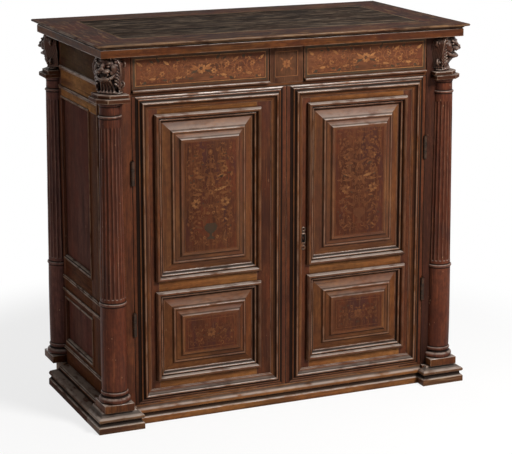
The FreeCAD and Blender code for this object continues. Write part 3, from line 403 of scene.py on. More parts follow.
def softened(points, radius=0.7):
    # rounds the corners of a closed outline and says how worn each point is: 1 on a proud edge, -1 in a corner,
    # which the finish darkens as grime and painted shade
    look = edgeLook
    points = [Vector(p) for i, p in enumerate(points) if (Vector(p) - Vector(points[i - 1])).length > 0.02]
    count = len(points)
    area = sum(points[i - 1].x * points[i].y - points[i].x * points[i - 1].y for i in range(count))
    hand = math.copysign(1, area)
    made = []
    for i, point in enumerate(points):
        before, after = points[i - 1] - point, points[(i + 1) % count] - point
        if abs(turnBetween(-before.normalized(), after.normalized())) > look["corner"]:
            cut = min(radius, before.length * look["cut"], after.length * look["cut"])
            start, end = point + before.normalized() * cut, point + after.normalized() * cut
            made += [start, (start + point * 2 + end) / 4, end]
        else:
            made.append(point)
    spaced = []
    for i, point in enumerate(made):
        spaced.append(point)
        way = made[(i + 1) % len(made)] - point
        loops = [reach for reach in look["loops"] if way.length > 3 * reach]
        spaced += [point + way.normalized() * reach for reach in loops]
        spaced += [point + way - way.normalized() * reach for reach in reversed(loops)]
    outline = []
    for i, point in enumerate(spaced):
        near, wide = (bendAt(spaced, i, look[reach]) * hand for reach in ("near", "wide"))
        worn = near / look["nearTurn"] + min(0, wide) / look["wideTurn"]
        outline.append((point.x, point.y, max(-1, min(1, worn))))
    return outline


def turnBetween(a, b):
    return math.atan2(a.x * b.y - a.y * b.x, a.dot(b))


def bendAt(points, i, reach):
    return turnBetween(points[i] - reachOn(points, i, -1, reach), reachOn(points, i, 1, reach) - points[i])


def reachOn(points, i, step, reach):
    # the place a little way along an outline from its point i
    gone = 0
    here = points[i]
    for _ in range(len(points)):
        i = (i + step) % len(points)
        way = points[i] - here
        if gone + way.length >= reach:
            return here + way.normalized() * (reach - gone)
        gone += way.length
        here = points[i]
    return here


def newMesh(wearOnFaces=False):
    bm = bmesh.new()
    bm.verts.layers.float_vector.new("grain")
    (bm.faces if wearOnFaces else bm.verts).layers.float.new("wear")
    return bm


def skin(bm, rings, capped=True):
    # faces from ring to ring, and over both ends
    for a, b in zip(rings, rings[1:]):
        for i in range(len(a)):
            bm.faces.new((a[i - 1], a[i], b[i], b[i - 1]))
    if capped:
        bm.faces.new(rings[0][::-1])
        bm.faces.new(rings[-1])


runLook = {"step": 18, "sway": (90, 30, 30), "nick": 9, "nickFrom": 0.42, "nickDepth": 2.2}


def moulding(bm, place, start, end, inward, profile, mitres=(0, 0), sway=0.35):
    # a straight run of a moulding: each section is shifted by its depth at a mitred end
    grain, wear = bm.verts.layers.float_vector["grain"], bm.verts.layers.float["wear"]
    start, end, inward = Vector(start), Vector(end), Vector(inward)
    way = (end - start).normalized()
    length = (end - start).length
    count = max(3, round(length / runLook["step"]))
    seed = newSeed()
    foot = min(h for d, h, worn in profile)
    rings = []
    for share in (i / count for i in range(count + 1)):
        ring = []
        calm = min(1, 6 * share, 6 * (1 - share))
        for d, h, worn in profile:
            s = along(d * mitres[0], length - d * mitres[1], share)
            loss = 0
            if worn > 0:  # proud edges waver and are nicked
                spot = Vector([c / size for c, size in zip((s, d, h), runLook["sway"])])
                nick = noise.noise(seed * 3 + Vector([c / runLook["nick"] for c in (s, d, h)]))
                loss = (0.5 + noise.noise(seed * 7 + spot) / 2) * sway * calm
                loss += max(0, nick - runLook["nickFrom"]) * runLook["nickDepth"] * worn * calm
            at = start + way * s + inward * (d + loss)
            vert = bm.verts.new(place(at.x, at.y, max(foot, h - loss) if h > foot + 0.5 else h) * mm)
            vert[grain] = Vector((s, d, h)) * mm + seed
            vert[wear] = worn
            ring.append(vert)
        rings.append(ring)
    skin(bm, rings)


def mouldingFrame(bm, place, low, high, profile, sides="bottom right top left", sway=0.35, upright=None):
    # four mitred runs round a rectangle; without a right side, the top and bottom end square there
    (x0, z0), (x1, z1) = low, high
    ends = {"bottom": ((x0, z0), (x1, z0), (0, 1)), "right": ((x1, z0), (x1, z1), (-1, 0)),
            "top": ((x1, z1), (x0, z1), (0, -1)), "left": ((x0, z1), (x0, z0), (1, 0))}
    for side in sides.split():
        mitres = (1, 1)
        if "right" not in sides:
            mitres = {"bottom": (1, 0), "top": (0, 1)}.get(side, mitres)
        section = upright if upright and side in ("left", "right") else profile
        moulding(bm, place, *ends[side], section, mitres, sway)


easedWear = 0.9


def board(bm, low, high, axis, soften=1.0):
    # one planed board with eased edges, its grain along an axis
    wear = bm.faces.layers.float["wear"]
    middle = (Vector(low) + Vector(high)) / 2
    size = Vector(high) - Vector(low)
    place = Matrix.Translation(middle * mm) @ Matrix.Diagonal((*(size * mm), 1))
    made = bmesh.ops.create_cube(bm, size=1, matrix=place)["verts"]
    edges = list({edge for vert in made for edge in vert.link_edges})
    bevelled = bmesh.ops.bevel(bm, geom=edges, offset=soften * mm, segments=2, profile=0.5, affect="EDGES")
    shell = set(bevelled["verts"])
    for face in bevelled["faces"]:
        face[wear] = easedWear
        shell.update(face.verts)
    setGrain(bm, shell, axis)


def setGrain(bm, verts, axis):
    grain = bm.verts.layers.float_vector["grain"]
    seed = newSeed()
    for vert in verts:
        c = vert.co
        vert[grain] = Vector((c[axis], c[(axis + 1) % 3], c[(axis + 2) % 3])) + seed


def islands(bm):
    # the loose parts of a mesh, in the order of their first points
    seen = set()
    for first in bm.verts:
        if first in seen:
            continue
        group, stack = {first}, [first]
        while stack:
            for edge in stack.pop().link_edges:
                for vert in edge.verts:
                    if vert not in group:
                        group.add(vert)
                        stack.append(vert)
        seen |= group
        yield group


def easedCopy(node, soften, axis=2, segments=2, keep=None):
    # a node's own shape with its edges eased by hand
    bm = newMesh(True)
    bm.from_mesh(frame["nodes"][node].data)
    if keep:
        bmesh.ops.delete(bm, geom=[face for face in bm.faces if not keep(face)], context="FACES")
    bmesh.ops.remove_doubles(bm, verts=bm.verts, dist=1e-6)
    bmesh.ops.dissolve_limit(bm, angle_limit=math.radians(1), verts=bm.verts, edges=bm.edges)
    sharp = [e for e in bm.edges if len(e.link_faces) == 2 and e.calc_face_angle() > 0.45]
    made = bmesh.ops.bevel(bm, geom=sharp, offset=soften * mm, segments=segments, profile=0.5, affect="EDGES",
                           clamp_overlap=True)
    wear = bm.faces.layers.float["wear"]
    for face in made["faces"]:
        face[wear] = easedWear
    for group in islands(bm):
        setGrain(bm, group, axis)
    return bm


def piece(name, bm, finish, nodes=(), body="carcass", smooth=35):
    bmesh.ops.recalc_face_normals(bm, faces=bm.faces)
    mesh = bpy.data.meshes.new(name)
    bm.to_mesh(mesh)
    bm.free()
    mesh.materials.append(finishes[finish])
    mesh.shade_smooth()
    mesh.set_sharp_from_angle(angle=math.radians(smooth))
    made = bpy.data.objects.new(name, mesh)
    bpy.context.scene.collection.objects.link(made)
    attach(made, body)
    if nodes:
        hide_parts(*nodes)


def boards(name, parts, finish, nodes=(), body="carcass"):
    # a piece of planed boards: the corners of each, the axis of its grain and how far its edges are eased
    bm = newMesh(True)
    for part in parts:
        board(bm, *part)
    piece(name, bm, finish, nodes, body)


def onFront(y):
    return lambda u, v, h: Vector((u, y - h, v))


def onSide(x):  # x is positive on the right
    return lambda u, v, h: Vector((math.copysign(abs(x) + h, x), u, v))


def onPlan(z):
    return lambda u, v, h: Vector((u, v, z + h))


# top

topLook = {
    "fieldBoards": 3, "line": 3.2, "lineDepth": 12,
    "cornice": [(62, 0), (0, 0), (0, 21.5), (2, 22.5), (2, 25), (62, 25)],
    "nose": [(106.8, 0), (14, 0)] + bow((13.6, 0.3), (6, 4.2), -1.5, 6) + [(5.6, 5)]
    + bow((3.4, 5), (3.0, 12), 2.9, 8) + [(106.8, 12)],
}
low, high = boxOf("top_border")
bm = newMesh()
mouldingFrame(bm, onPlan(low[2]), low[:2], high[:2], softened(topLook["nose"]), sway=0.8)
piece("topBorder", bm, "borderWalnut", ["top_border"])
low, high = boxOf("top_cornice")
bm = newMesh()
mouldingFrame(bm, onPlan(low[2]), low[:2], high[:2], softened(topLook["cornice"], 1.0))
piece("topCornice", bm, "corniceWalnut", ["top_cornice"])
low, high = boxOf("top_field")
parts = [((low[0], y0, low[2]), (high[0], y1, high[2]), 0, 0.9)
         for y0, y1 in shares(low[1], high[1], topLook["fieldBoards"])]
boards("topField", parts, "topWalnut", ["top_field"])
line, lineFoot = topLook["line"], high[2] - topLook["lineDepth"]
parts = []
for sign in (-1, 1):
    y0, y1 = sorted((sign * high[1], sign * (high[1] + line)))
    x0, x1 = sorted((sign * high[0], sign * (high[0] + line)))
    parts += [((low[0] - line, y0, lineFoot), (high[0] + line, y1, high[2]), 0, 0.4),
              ((x0, low[1], lineFoot), (x1, high[1], high[2]), 1, 0.4)]
boards("topLine", parts, "lineWood")
print("top done")


# columns, with their slabs, abacus plates and posts

columnLook = {
    "at": (510, 240.5), "flutes": 18, "steps": 10, "fluteDepth": 2.4, "fluteShare": 0.40, "fluteRound": 5.5,
    "fluteLow": 374, "fluteHigh": 852, "fluteEnds": (0, 1, 2.5, 4.5, 6), "shaft": (363, 877),
    "shrink": 0.3, "waver": 0.35,
    "profile": [(0, 77), (38, 77)] + bow((40, 77), (40, 93), -4.5, 8) + [(36.5, 93)]
    + bow((36.5, 93.5), (35.5, 98.5), 1.2, 4) + [(35.5, 99)] + bow((36, 99), (36, 109), -2.5, 6)
    + [(35.4, 109), (36, 118), (36.3, 200), (36, 300), (35.4, 353)] + bow((35.6, 354), (35.6, 363), -2.9, 6)
    + [(34.6, 363.5)] + [(along(35, 30, k / 24), along(364, 875, k / 24)) for k in range(25)]
    + bow((30.2, 876), (30.2, 883), -2.8, 6) + [(29, 883.5), (28.6, 900)] + bow((28.8, 908), (32, 919), -1.2, 4)
    + [(0, 919)],
}


def fluteAt(turn, z):
    # how deep the shaft is cut here, and how worn: arrises are worn, the flutes are darkened as dirt and painted
    # shade
    look = columnLook
    place = (turn / fullTurn * look["flutes"]) % 1 - 0.5
    ends = min(z - look["fluteLow"], look["fluteHigh"] - z)
    if ends <= 0:
        return 0, 0
    rounding = math.sqrt(max(0, 1 - max(0, 1 - ends / look["fluteRound"]) ** 2))
    width = look["fluteShare"] * rounding
    if abs(place) >= width or width <= 0:
        return 0, 0.5 * rounding
    cut = math.sqrt(1 - (place / width) ** 2)
    return look["fluteDepth"] * cut * rounding, 0.3 - 0.62 * cut


def columnOutline():
    # from the foot to the head, with close rings where the flutes end
    look = columnLook
    outline = softened(look["profile"], 0.5)
    bottom = look["profile"][0][1] + 1
    first = next(i for i, p in enumerate(outline) if p[0] < 0.01 and p[1] < bottom)
    outline = [p for p in outline[first:] + outline[:first] if p[0] > 0.5]
    ends = [look["fluteLow"] + e for e in look["fluteEnds"]]
    ends += [look["fluteHigh"] - e for e in reversed(look["fluteEnds"])]
    fine = []
    for a, b in zip(outline, outline[1:]):
        fine.append(a)
        if a[1] > look["shaft"][0] and b[1] < look["shaft"][1] and b[1] - a[1] > 4:
            fine += [(along(a[0], b[0], (z - a[1]) / (b[1] - a[1])), z, 0) for z in ends if a[1] < z < b[1]]
    return fine + [outline[-1]]


def turnedColumn(name, x, y):
    bm = newMesh()
    grain, wear = bm.verts.layers.float_vector["grain"], bm.verts.layers.float["wear"]
    seed = newSeed()
    rings = []
    for r, z, worn in columnOutline():
        ring = []
        for turn in ringTurns(columnLook["flutes"] * columnLook["steps"]):
            cut, edge = fluteAt(turn, z)
            waver = noise.noise(seed + Vector((math.cos(turn) * 2, math.sin(turn) * 2, z / 60)))
            reach = r - cut - columnLook["shrink"] + waver * columnLook["waver"]
            at = Vector((x + reach * math.cos(turn), y + reach * math.sin(turn), z)) * mm
            vert = bm.verts.new(at)
            vert[grain] = Vector((at.z, at.x, at.y)) + seed
            vert[wear] = edge if cut or edge else worn * 0.8
            ring.append(vert)
        rings.append(ring)
    skin(bm, rings)
    # rear columns take the lighter, purpler copy of the column wood: painted light and reflection
    piece(f"turned_{name}", bm, "redWalnut" if "front" in name else "litRearWalnut", [name])


def onLeft(face):
    return face.calc_center_median().x < 0


corners = {"front_left": (-1, -1), "front_right": (1, -1), "rear_left": (-1, 1), "rear_right": (1, 1)}
columnX, columnY = columnLook["at"]
for corner, (sx, sy) in corners.items():
    turnedColumn(f"column_{corner}", sx * columnX, sy * columnY)
piece("columnSlabs", easedCopy("column_slabs", 1.4), "walnut", ["column_slabs"])
piece("abacusPlates", easedCopy("abacus_plates", 1.8, 0, 3), "abacusWalnut", ["abacus_plates"])
piece("cornerPosts", easedCopy("corner_posts", 0.9, keep=onLeft), "stileWalnut", ["corner_posts"])
# the right posts take a darker copy of the stile wood: painted shade
piece("rightPosts", easedCopy("corner_posts", 0.9, keep=lambda face: not onLeft(face)), "shadedPostWalnut")
print("columns done")


# lions

lionLook = {  # places are outwards, sideways and upwards from the column's axis and the abacus
    "voxel": 1.15, "smooth": 2, "height": 102, "halfWidth": 50, "reach": 50.5, "back": -26, "chisel": 1.3,
    # middle of each lump, its radii, tilt and roll: first body and head, brow and nose, tongue and chin, foot
    "middle": [((-10, 0, 50), (19, 32, 54)), ((-4, 0, 22), (16, 28, 24)), ((10, 0, 78), (23, 29, 22)),
               ((26, 0, 92), (10, 14, 8), 0.3), ((34, 0, 80), (12, 6, 8), 0.5), ((46, 0, 72.5), (4.5, 8, 4.5)),
               ((20, 0, 54), (11, 18, 9)), ((29, 0, 49.5), (9, 10, 3.2)), ((31, 0, 40.5), (7, 13, 4.5)),
               ((-4, 0, 3.5), (23, 37, 6))],
    # then those on both sides: lips and cheeks, brows and eyes, teeth, ears and flanks
    "pairs": [((38, 9.5, 66.5), (11.5, 11, 6.3), 0.15), ((26, 21, 62), (8, 6, 6.5)), ((20, 24, 71), (12, 9, 13)),
              ((31, 12, 85.5), (7, 10, 3.8), 0.2, 0.35), ((32, 12, 78), (4.5, 5, 3.2)),
              ((35, 13, 58.5), (2.6, 2.4, 5)), ((10, 28, 94), (5, 7, 7), 0, 0.5), ((4, 26, 62), (15, 11, 36))],
    "jaw": [(18, -25, 56), (27, -21, 48), (37, -11, 44), (40, 0, 43), (37, 11, 44), (27, 21, 48), (18, 25, 56)],
    "strands": 7, "locks": 9, "curls": 5, "volutes": [((-9, 36, 79), 9.0), ((-7, 34, 25), 8.5)],
}


def lump(bm, centre, radii, tilt=0.0, roll=0.0, side=1):
    x, y, z = centre
    turn = Matrix.Rotation(tilt, 4, "Y") @ Matrix.Rotation(side * roll, 4, "X")
    place = Matrix.Translation((x, side * y, z)) @ turn @ Matrix.Diagonal((*radii, 1))
    bmesh.ops.create_uvsphere(bm, u_segments=20, v_segments=14, radius=1, matrix=place)


def lock(bm, points, thick, thin, count=12, around=10, side=1):
    # a tapering curl along a smooth line through its points
    points = [Vector((x, side * y, z)) for x, y, z in points]
    spans = len(points) - 1
    line = []
    for i in range(count + 1):
        t = i / count * spans
        k = min(int(t), spans - 1)
        f = t - k
        p0, p1, p2, p3 = (points[max(0, min(spans, k + j))] for j in (-1, 0, 1, 2))
        line.append(0.5 * (2 * p1 + (p2 - p0) * f + (2 * p0 - 5 * p1 + 4 * p2 - p3) * f * f
                           + (3 * p1 - p0 - 3 * p2 + p3) * f ** 3))
    rings = []
    for i, here in enumerate(line):
        way = (line[min(i + 1, count)] - line[max(i - 1, 0)]).normalized()
        across = way.orthogonal().normalized()
        other = way.cross(across)
        radius = along(thick, thin, i / count)
        rings.append([bm.verts.new(here + (across * math.cos(a) + other * math.sin(a)) * radius)
                      for a in ringTurns(around)])
    skin(bm, rings)


def maneSide(bm, side):
    for part in lionLook["pairs"]:
        lump(bm, *part, side=side)
    for k in range(lionLook["strands"]):  # fine strands, from the ear down the flank to the foot
        x = 14 - k * 5.4
        lock(bm, [(x, 29 - k * 0.8, 97 - k * 1.2), (x - 1, 38 - k, 80), (x - 4, 39 - k, 60),
                  (x - 9, 35 - k * 0.5, 40), (x - 11, 31 - k * 0.4, 22), (x - 7, 33 - k * 0.5, 8)],
             3.5, 2.5, 20, side=side)
    for k in range(lionLook["locks"]):  # flame-like locks, from the cheek outwards and down
        z = 99 - k * 8.5
        wide = 5 * math.sin(math.pi * (k + 1) / 10)
        lock(bm, [(19, 22 + wide, z), (16, 28 + wide, z - 3), (10, 31.5 + wide, z - 10), (6, 32 + wide, z - 18),
                  (9, 33 + wide, z - 24)], 3.3, 1.5, 16, side=side)
    for centre, size in lionLook["volutes"]:
        coil = []
        for k in range(13):
            a, r = k * 0.75, size * (1 - k / 15)
            coil.append(Vector(centre) + Vector((k * 0.7, math.sin(a) * r, math.cos(a) * r)))
        lock(bm, coil, 3.6, 2.0, 48, 8, side)


def lionRough():
    bm = bmesh.new()
    for part in lionLook["middle"]:
        lump(bm, *part)
    lock(bm, lionLook["jaw"], 4.4, 4.4, 28)
    for side in (-1, 1):
        maneSide(bm, side)
    for k in range(lionLook["curls"]):  # curls along the brow, beard and claws
        w = (k - 2) * 9.0
        ring = [(25 - abs(w) * 0.45 + 2 * math.cos(a), w * 1.25 + 5 * math.sin(a), 97 + 4 * math.cos(a))
                for a in (fullTurn * j / 10 for j in range(11))]
        lock(bm, ring, 2.3, 2.3, 24, 8)
        beard = [(30 - abs(w) * 0.3, w * 0.6, 40), (16, w * 0.85, 30), (10, w, 18), (12 - abs(w) * 0.15, w, 9)]
        lock(bm, beard, 4.0, 2.6)
        lump(bm, (12 - abs(w) * 0.2, w * 1.1, 5), (8, 4.3, 5.5))
    mesh = bpy.data.meshes.new("lionRough")
    bm.to_mesh(mesh)
    bm.free()
    rough = bpy.data.objects.new("lionRough", mesh)
    bpy.context.scene.collection.objects.link(rough)
    shrink = rough.modifiers.new("shell", "REMESH")
    shrink.mode = "VOXEL"
    shrink.voxel_size = lionLook["voxel"]
    shell = bpy.data.meshes.new_from_object(rough.evaluated_get(bpy.context.evaluated_depsgraph_get()))
    bpy.data.objects.remove(rough)
    return shell


def chiselled():
    # the rough lion, smoothed, kept within its block, cut over with the chisel, worn on what stands out and
    # darkened in its hollows as grime and painted shade
    look = lionLook
    bm = newMesh()
    bm.from_mesh(lionRough())
    for _ in range(look["smooth"]):
        bmesh.ops.smooth_vert(bm, verts=bm.verts, factor=0.5, use_axis_x=True, use_axis_y=True, use_axis_z=True)
    for vert in bm.verts:
        c = vert.co
        c.z = max(0.0, min(look["height"], c.z))
        c.x = max(look["back"], min(look["reach"], c.x))
        c.y = max(-look["halfWidth"], min(look["halfWidth"], c.y))
    bm.normal_update()
    for vert in bm.verts:
        mark = noise.noise(vert.co * 0.55) * 0.5 + noise.noise(vert.co * 1.1) * 0.3
        vert.co -= vert.normal * max(0, mark) * look["chisel"]
    bm.normal_update()
    bends = {}
    for vert in bm.verts:
        ring = [edge.other_vert(vert).co for edge in vert.link_edges]
        bends[vert] = (vert.co - sum(ring, Vector()) / len(ring)).dot(vert.normal) / look["voxel"]
    for _ in range(3):
        bends = {v: (b + sum(bends[e.other_vert(v)] for e in v.link_edges)) / (1 + len(v.link_edges))
                 for v, b in bends.items()}
    wear = bm.verts.layers.float["wear"]
    for vert, bend in bends.items():
        vert[wear] = max(-1, min(1, bend * 9))
    mesh = bpy.data.meshes.new("lionShell")
    bm.to_mesh(mesh)
    bm.free()
    return mesh


lionShell = chiselled()
for corner, (sx, sy) in corners.items():
    bm = bmesh.new()
    bm.from_mesh(lionShell)
    grain = bm.verts.layers.float_vector["grain"]
    seed = newSeed()
    out = Vector((sx, sy, 0)).normalized()
    across = Vector((-out.y, out.x, 0))
    foot = Vector((sx * columnX, sy * columnY, boxOf(f"lion_{corner}")[0][2]))
    for vert in bm.verts:
        c = vert.co.copy()
        vert.co = (foot + out * c.x + across * c.y + Vector((0, 0, c.z))) * mm
        vert[grain] = Vector((vert.co.z, vert.co.x, vert.co.y)) + seed
    piece(f"carved_lion_{corner}", bm, "carvedWalnut", [f"lion_{corner}"], smooth=180)
print("lions done")


# sides and back

sideLook = {
    "openings": [(123, 258), (383, 863)], "frames": [(98, 288), (318, 899)], "stopSeat": 5,
    "moulded": "bottom top left",  # the rear post closes the fourth side
    "bead": [(12, -1), (0, -1)] + bow((0, 0), (12, 0), 6.5, 9),
    "astragal": [(0, -1), (0, 1.5)] + bow((0.3, 1.5), (5.4, 3.5), 3.2, 6) + bow((5.4, 2.6), (9.7, 1.5), 2.2, 5)
    + [(10, 1), (10, -1)],
    "stop": [(0, -9), (0, 0)] + bow((0.2, 0), (7, 0), 3.9, 6) + bow((7, -1), (12, -8.2), 1.3, 5) + [(12, -9)],
}
beadLow, beadHigh = boxOf("side_beads")
for side, sx in bothSides:
    low, high = boxOf(f"{side}_side_frame")
    panelLow, panelHigh = boxOf(f"{side}_side_panels")
    mouldLow, mouldHigh = boxOf(f"{side}_side_mouldings")
    stile = panelLow[1]  # the rear edge of the front stile
    (foot, middleLow), (middleHigh, head) = sideLook["openings"]

    def sideBoard(y0, z0, z1, axis=1):
        return (low[0], y0, z0), (high[0], high[1] if axis == 1 else stile, z1), axis, 0.8

    parts = [sideBoard(low[1], low[2], head, 2), sideBoard(stile, low[2], foot),
             sideBoard(stile, middleLow, middleHigh)]
    boards(f"{side}SideFrame", parts, "sideWalnut", [f"{side}_side_frame"])
    boards(f"{side}SideRail", [sideBoard(low[1], head, beadLow[2])], "sideRailWalnut")
    boards(f"{side}SideFrieze", [sideBoard(low[1], beadLow[2], high[2])], "friezeWalnut")
    parts = [((panelLow[0], panelLow[1], z0), (panelHigh[0], panelHigh[1], z1), 2, 0.5)
             for z0, z1 in sideLook["openings"]]
    boards(f"{side}SidePanels", parts, "sidePanelWalnut", [f"{side}_side_panels"])
    bm = newMesh()
    place = onSide(high[0] if sx > 0 else low[0])
    astragal, stop = (softened(sideLook[profile], 0.4) for profile in ("astragal", "stop"))
    seat, moulded = sideLook["stopSeat"], sideLook["moulded"]
    for z0, z1 in sideLook["frames"]:
        mouldingFrame(bm, place, (mouldLow[1], z0), (mouldHigh[1], z1), astragal, moulded)
    for z0, z1 in sideLook["openings"]:
        mouldingFrame(bm, place, (stile - seat, z0 - seat), (high[1], z1 + seat), stop, moulded)
    piece(f"{side}SideMouldings", bm, "sideWalnut", [f"{side}_side_mouldings"])
bm = newMesh()
for sx in (-1, 1):
    moulding(bm, onSide(sx * columnX), (beadLow[1], beadLow[2]), (beadHigh[1], beadLow[2]), (0, 1),
             softened(sideLook["bead"], 0.4))
# the bead takes a brighter copy of the side wood: painted highlight
piece("sideBeads", bm, "litBeadWalnut", ["side_beads"])

backLook = {"planks": 3, "footRail": (20, 110), "middleRail": (385, 445), "topRail": 915}
low, high = boxOf("back_rails")
rails = [backLook["footRail"], backLook["middleRail"], (backLook["topRail"], high[2])]
parts = [((low[0], low[1], z0), (high[0], high[1], z1), 0, 1.2) for z0, z1 in rails]
boards("backRails", parts, "plainWood", ["back_rails"])
low, high = boxOf("back_planks")
parts = [((x0, low[1], z0), (x1, high[1], z1), 2, 1.5)
         for z0, z1 in ((low[2], backLook["middleRail"][0]), (backLook["middleRail"][1], high[2]))
         for x0, x1 in shares(low[0], high[0], backLook["planks"])]
boards("backPlanks", parts, "plainWood", ["back_planks"])
print("sides and back done")


# base

baseLook = {
    "block": [(40, 0), (0, 0), (0, 17.5), (1.5, 19)] + bow((1.8, 19.2), (7.5, 29.5), -2.2, 7) + [(7.5, 31)]
    + bow((4, 31), (4, 43), 3.9, 8) + bow((5, 43.6), (19, 55), -2.5, 6) + [(40, 55)],
    "plinth": [(14, 0), (0, 0), (0, 17.5), (1.2, 19)] + bow((1.4, 19.2), (6, 29.5), -1.8, 7) + [(6, 31)]
    + bow((3, 31), (3, 43), 2.9, 8) + bow((3.5, 43.6), (9.5, 55), -1.6, 6) + [(14, 55)],
    "side": [(63, 0), (0, 0), (0, 17.5), (1.5, 19)] + bow((1.8, 19.2), (7.5, 28), -2.0, 7) + [(7.5, 29.5)]
    + bow((4, 29.5), (4, 41), 3.9, 8) + [(6, 42), (30, 44), (31.5, 52)] + bow((31.5, 52), (36, 55), -1.2, 4)
    + [(63, 55)],
    "fillIn": 30, "fillInner": 12.5, "fillHeights": (2, 54.6), "plinthTail": 13.5,
}
low, high = boxOf("base_blocks")
plinthLow, plinthHigh = boxOf("plinth_front")
sideLow, sideHigh = boxOf("plinth_sides")
onFloor = onPlan(0)
bm = newMesh()
section = softened(baseLook["block"], 0.6)
for sx in (-1, 1):
    inner, outer = sx * plinthHigh[0], sx * high[0]
    moulding(bm, onFloor, (inner, plinthLow[1]), (inner, low[1]), (sx, 0), section, (0, 1))
    moulding(bm, onFloor, (inner, low[1]), (outer, low[1]), (0, 1), section, (1, 1))
    moulding(bm, onFloor, (outer, low[1]), (outer, high[1]), (-sx, 0), section, (1, 0))
piece("baseBlocks", bm, "baseWalnut", ["base_blocks"])
fill, (z0, z1) = baseLook["fillIn"], baseLook["fillHeights"]
parts = []
for sx in (-1, 1):
    x0, x1 = sorted((sx * (plinthHigh[0] + baseLook["fillInner"]), sx * (high[0] - fill)))
    parts.append(((x0, low[1] + fill, z0), (x1, high[1], z1), 0, 0.8))
boards("blockTops", parts, "walnut")
bm = newMesh()
tail = baseLook["plinthTail"]
moulding(bm, onFloor, (plinthLow[0] - tail, plinthLow[1]), (plinthHigh[0] + tail, plinthLow[1]), (0, 1),
         softened(baseLook["plinth"], 0.6))
piece("plinthFront", bm, "railWalnut", ["plinth_front"])
bm = newMesh()
for sx in (-1, 1):
    moulding(bm, onFloor, (sx * sideHigh[0], sideLow[1]), (sx * sideHigh[0], sideHigh[1]), (-sx, 0),
             softened(baseLook["side"], 0.6))
piece("plinthSides", bm, "sideWalnut", ["plinth_sides"])
piece("rearFeet", easedCopy("rear_feet", 2.0, 0), "plainWood", ["rear_feet"])
print("base done")


# marquetry: every shape is an outline and a tint, from 0 for green and black to 1 for pale wood

def turned2d(points, at, angle):
    c, s = math.cos(angle), math.sin(angle)
    return [(at[0] + c * x - s * y, at[1] + s * x + c * y) for x, y in points]


def onCurve(start, bend, end, t):
    return start * (1 - t) ** 2 + bend * 2 * t * (1 - t) + end * t * t


def leaf(at, angle, length, width, bend=0.0, tint=0.72, count=7):
    def edge(side, steps):
        return [(t * length, side * width / 2 * math.sin(math.pi * t ** 0.8) + bend * length * t * t)
                for t in (k / count for k in steps)]

    outline = edge(1, range(count + 1)) + edge(-1, range(count - 1, 0, -1))
    return [(turned2d(outline, at, angle), tint)]


def ribbon(points, width, tint=0.66):
    points = [Vector(p) for p in points]
    left, right = [], []
    for i, here in enumerate(points):
        way = (points[min(i + 1, len(points) - 1)] - points[max(i - 1, 0)]).normalized()
        side = Vector((-way.y, way.x)) * width / 2
        left.append(tuple(here + side))
        right.append(tuple(here - side))
    return [(left + right[::-1], tint)]


def stem(start, bend, end, width, tint):
    start, bend, end = Vector(start), Vector(bend), Vector(end)
    return ribbon([onCurve(start, bend, end, k / 9) for k in range(10)], width, tint)


def flower(at, radius, petals, tint=0.8, turn=0.0):
    shapes = []
    for k, angle in enumerate(ringTurns(petals)):
        angle = turn + angle
        start = (at[0] + math.cos(angle) * radius * 0.26, at[1] + math.sin(angle) * radius * 0.26)
        shapes += leaf(start, angle, radius * 0.78, radius * 0.62, 0, tint + 0.1 * (k % 2))
    disc = [(math.cos(a) * radius * 0.24, math.sin(a) * radius * 0.24) for a in ringTurns(10)]
    return shapes + [(turned2d(disc, at, 0), 0.34)]


def tulip(at, angle, size, tint=0.85):
    shapes = []
    for turn, share in ((0.42, 0.9), (-0.42, 0.9), (0.0, 1.0)):
        shapes += leaf(at, angle + turn, size * share, size * 0.42, 0, tint - abs(turn) * 0.3)
    return shapes


def mirrored(shapes):
    return shapes + [([(-x, y) for x, y in points][::-1], tint - 0.06) for points, tint in shapes]


def stringing(width, height, inset, thick, tint):
    x, y = width / 2 - inset, height - inset
    bars = [((-x, inset), (x, inset + thick)), ((-x, y - thick), (x, y)),
            ((-x, inset + thick), (-x + thick, y - thick)), ((x - thick, inset + thick), (x, y - thick))]
    return [([(a[0], a[1]), (b[0], a[1]), (b[0], b[1]), (a[0], b[1])], tint) for a, b in bars]


def spray(foot, bend, head, leaves=4, tint=0.62):
    # a curved stem with leaves to both sides
    shapes = stem(foot, bend, head, 0.9, 0.56)
    foot, bend, head = Vector(foot), Vector(bend), Vector(head)
    reach = (head - foot).length
    for k in range(leaves):
        t = (k + 0.7) / (leaves + 0.4)
        way = (bend - foot) * (1 - t) + (head - bend) * t
        side = 1 if k % 2 else -1
        angle = math.atan2(way.y, way.x) + side * 0.8
        at = onCurve(foot, bend, head, t)
        shapes += leaf(at, angle, reach * 0.30, reach * 0.10, side * 0.14, tint + 0.14 * (k % 3) - 0.12)
    return shapes


sprigLook = {"leavesTo": 0.50, "flowersTo": 0.68, "tendrilsTo": 0.88, "tints": (0.52, 0.86), "stray": 0.3}


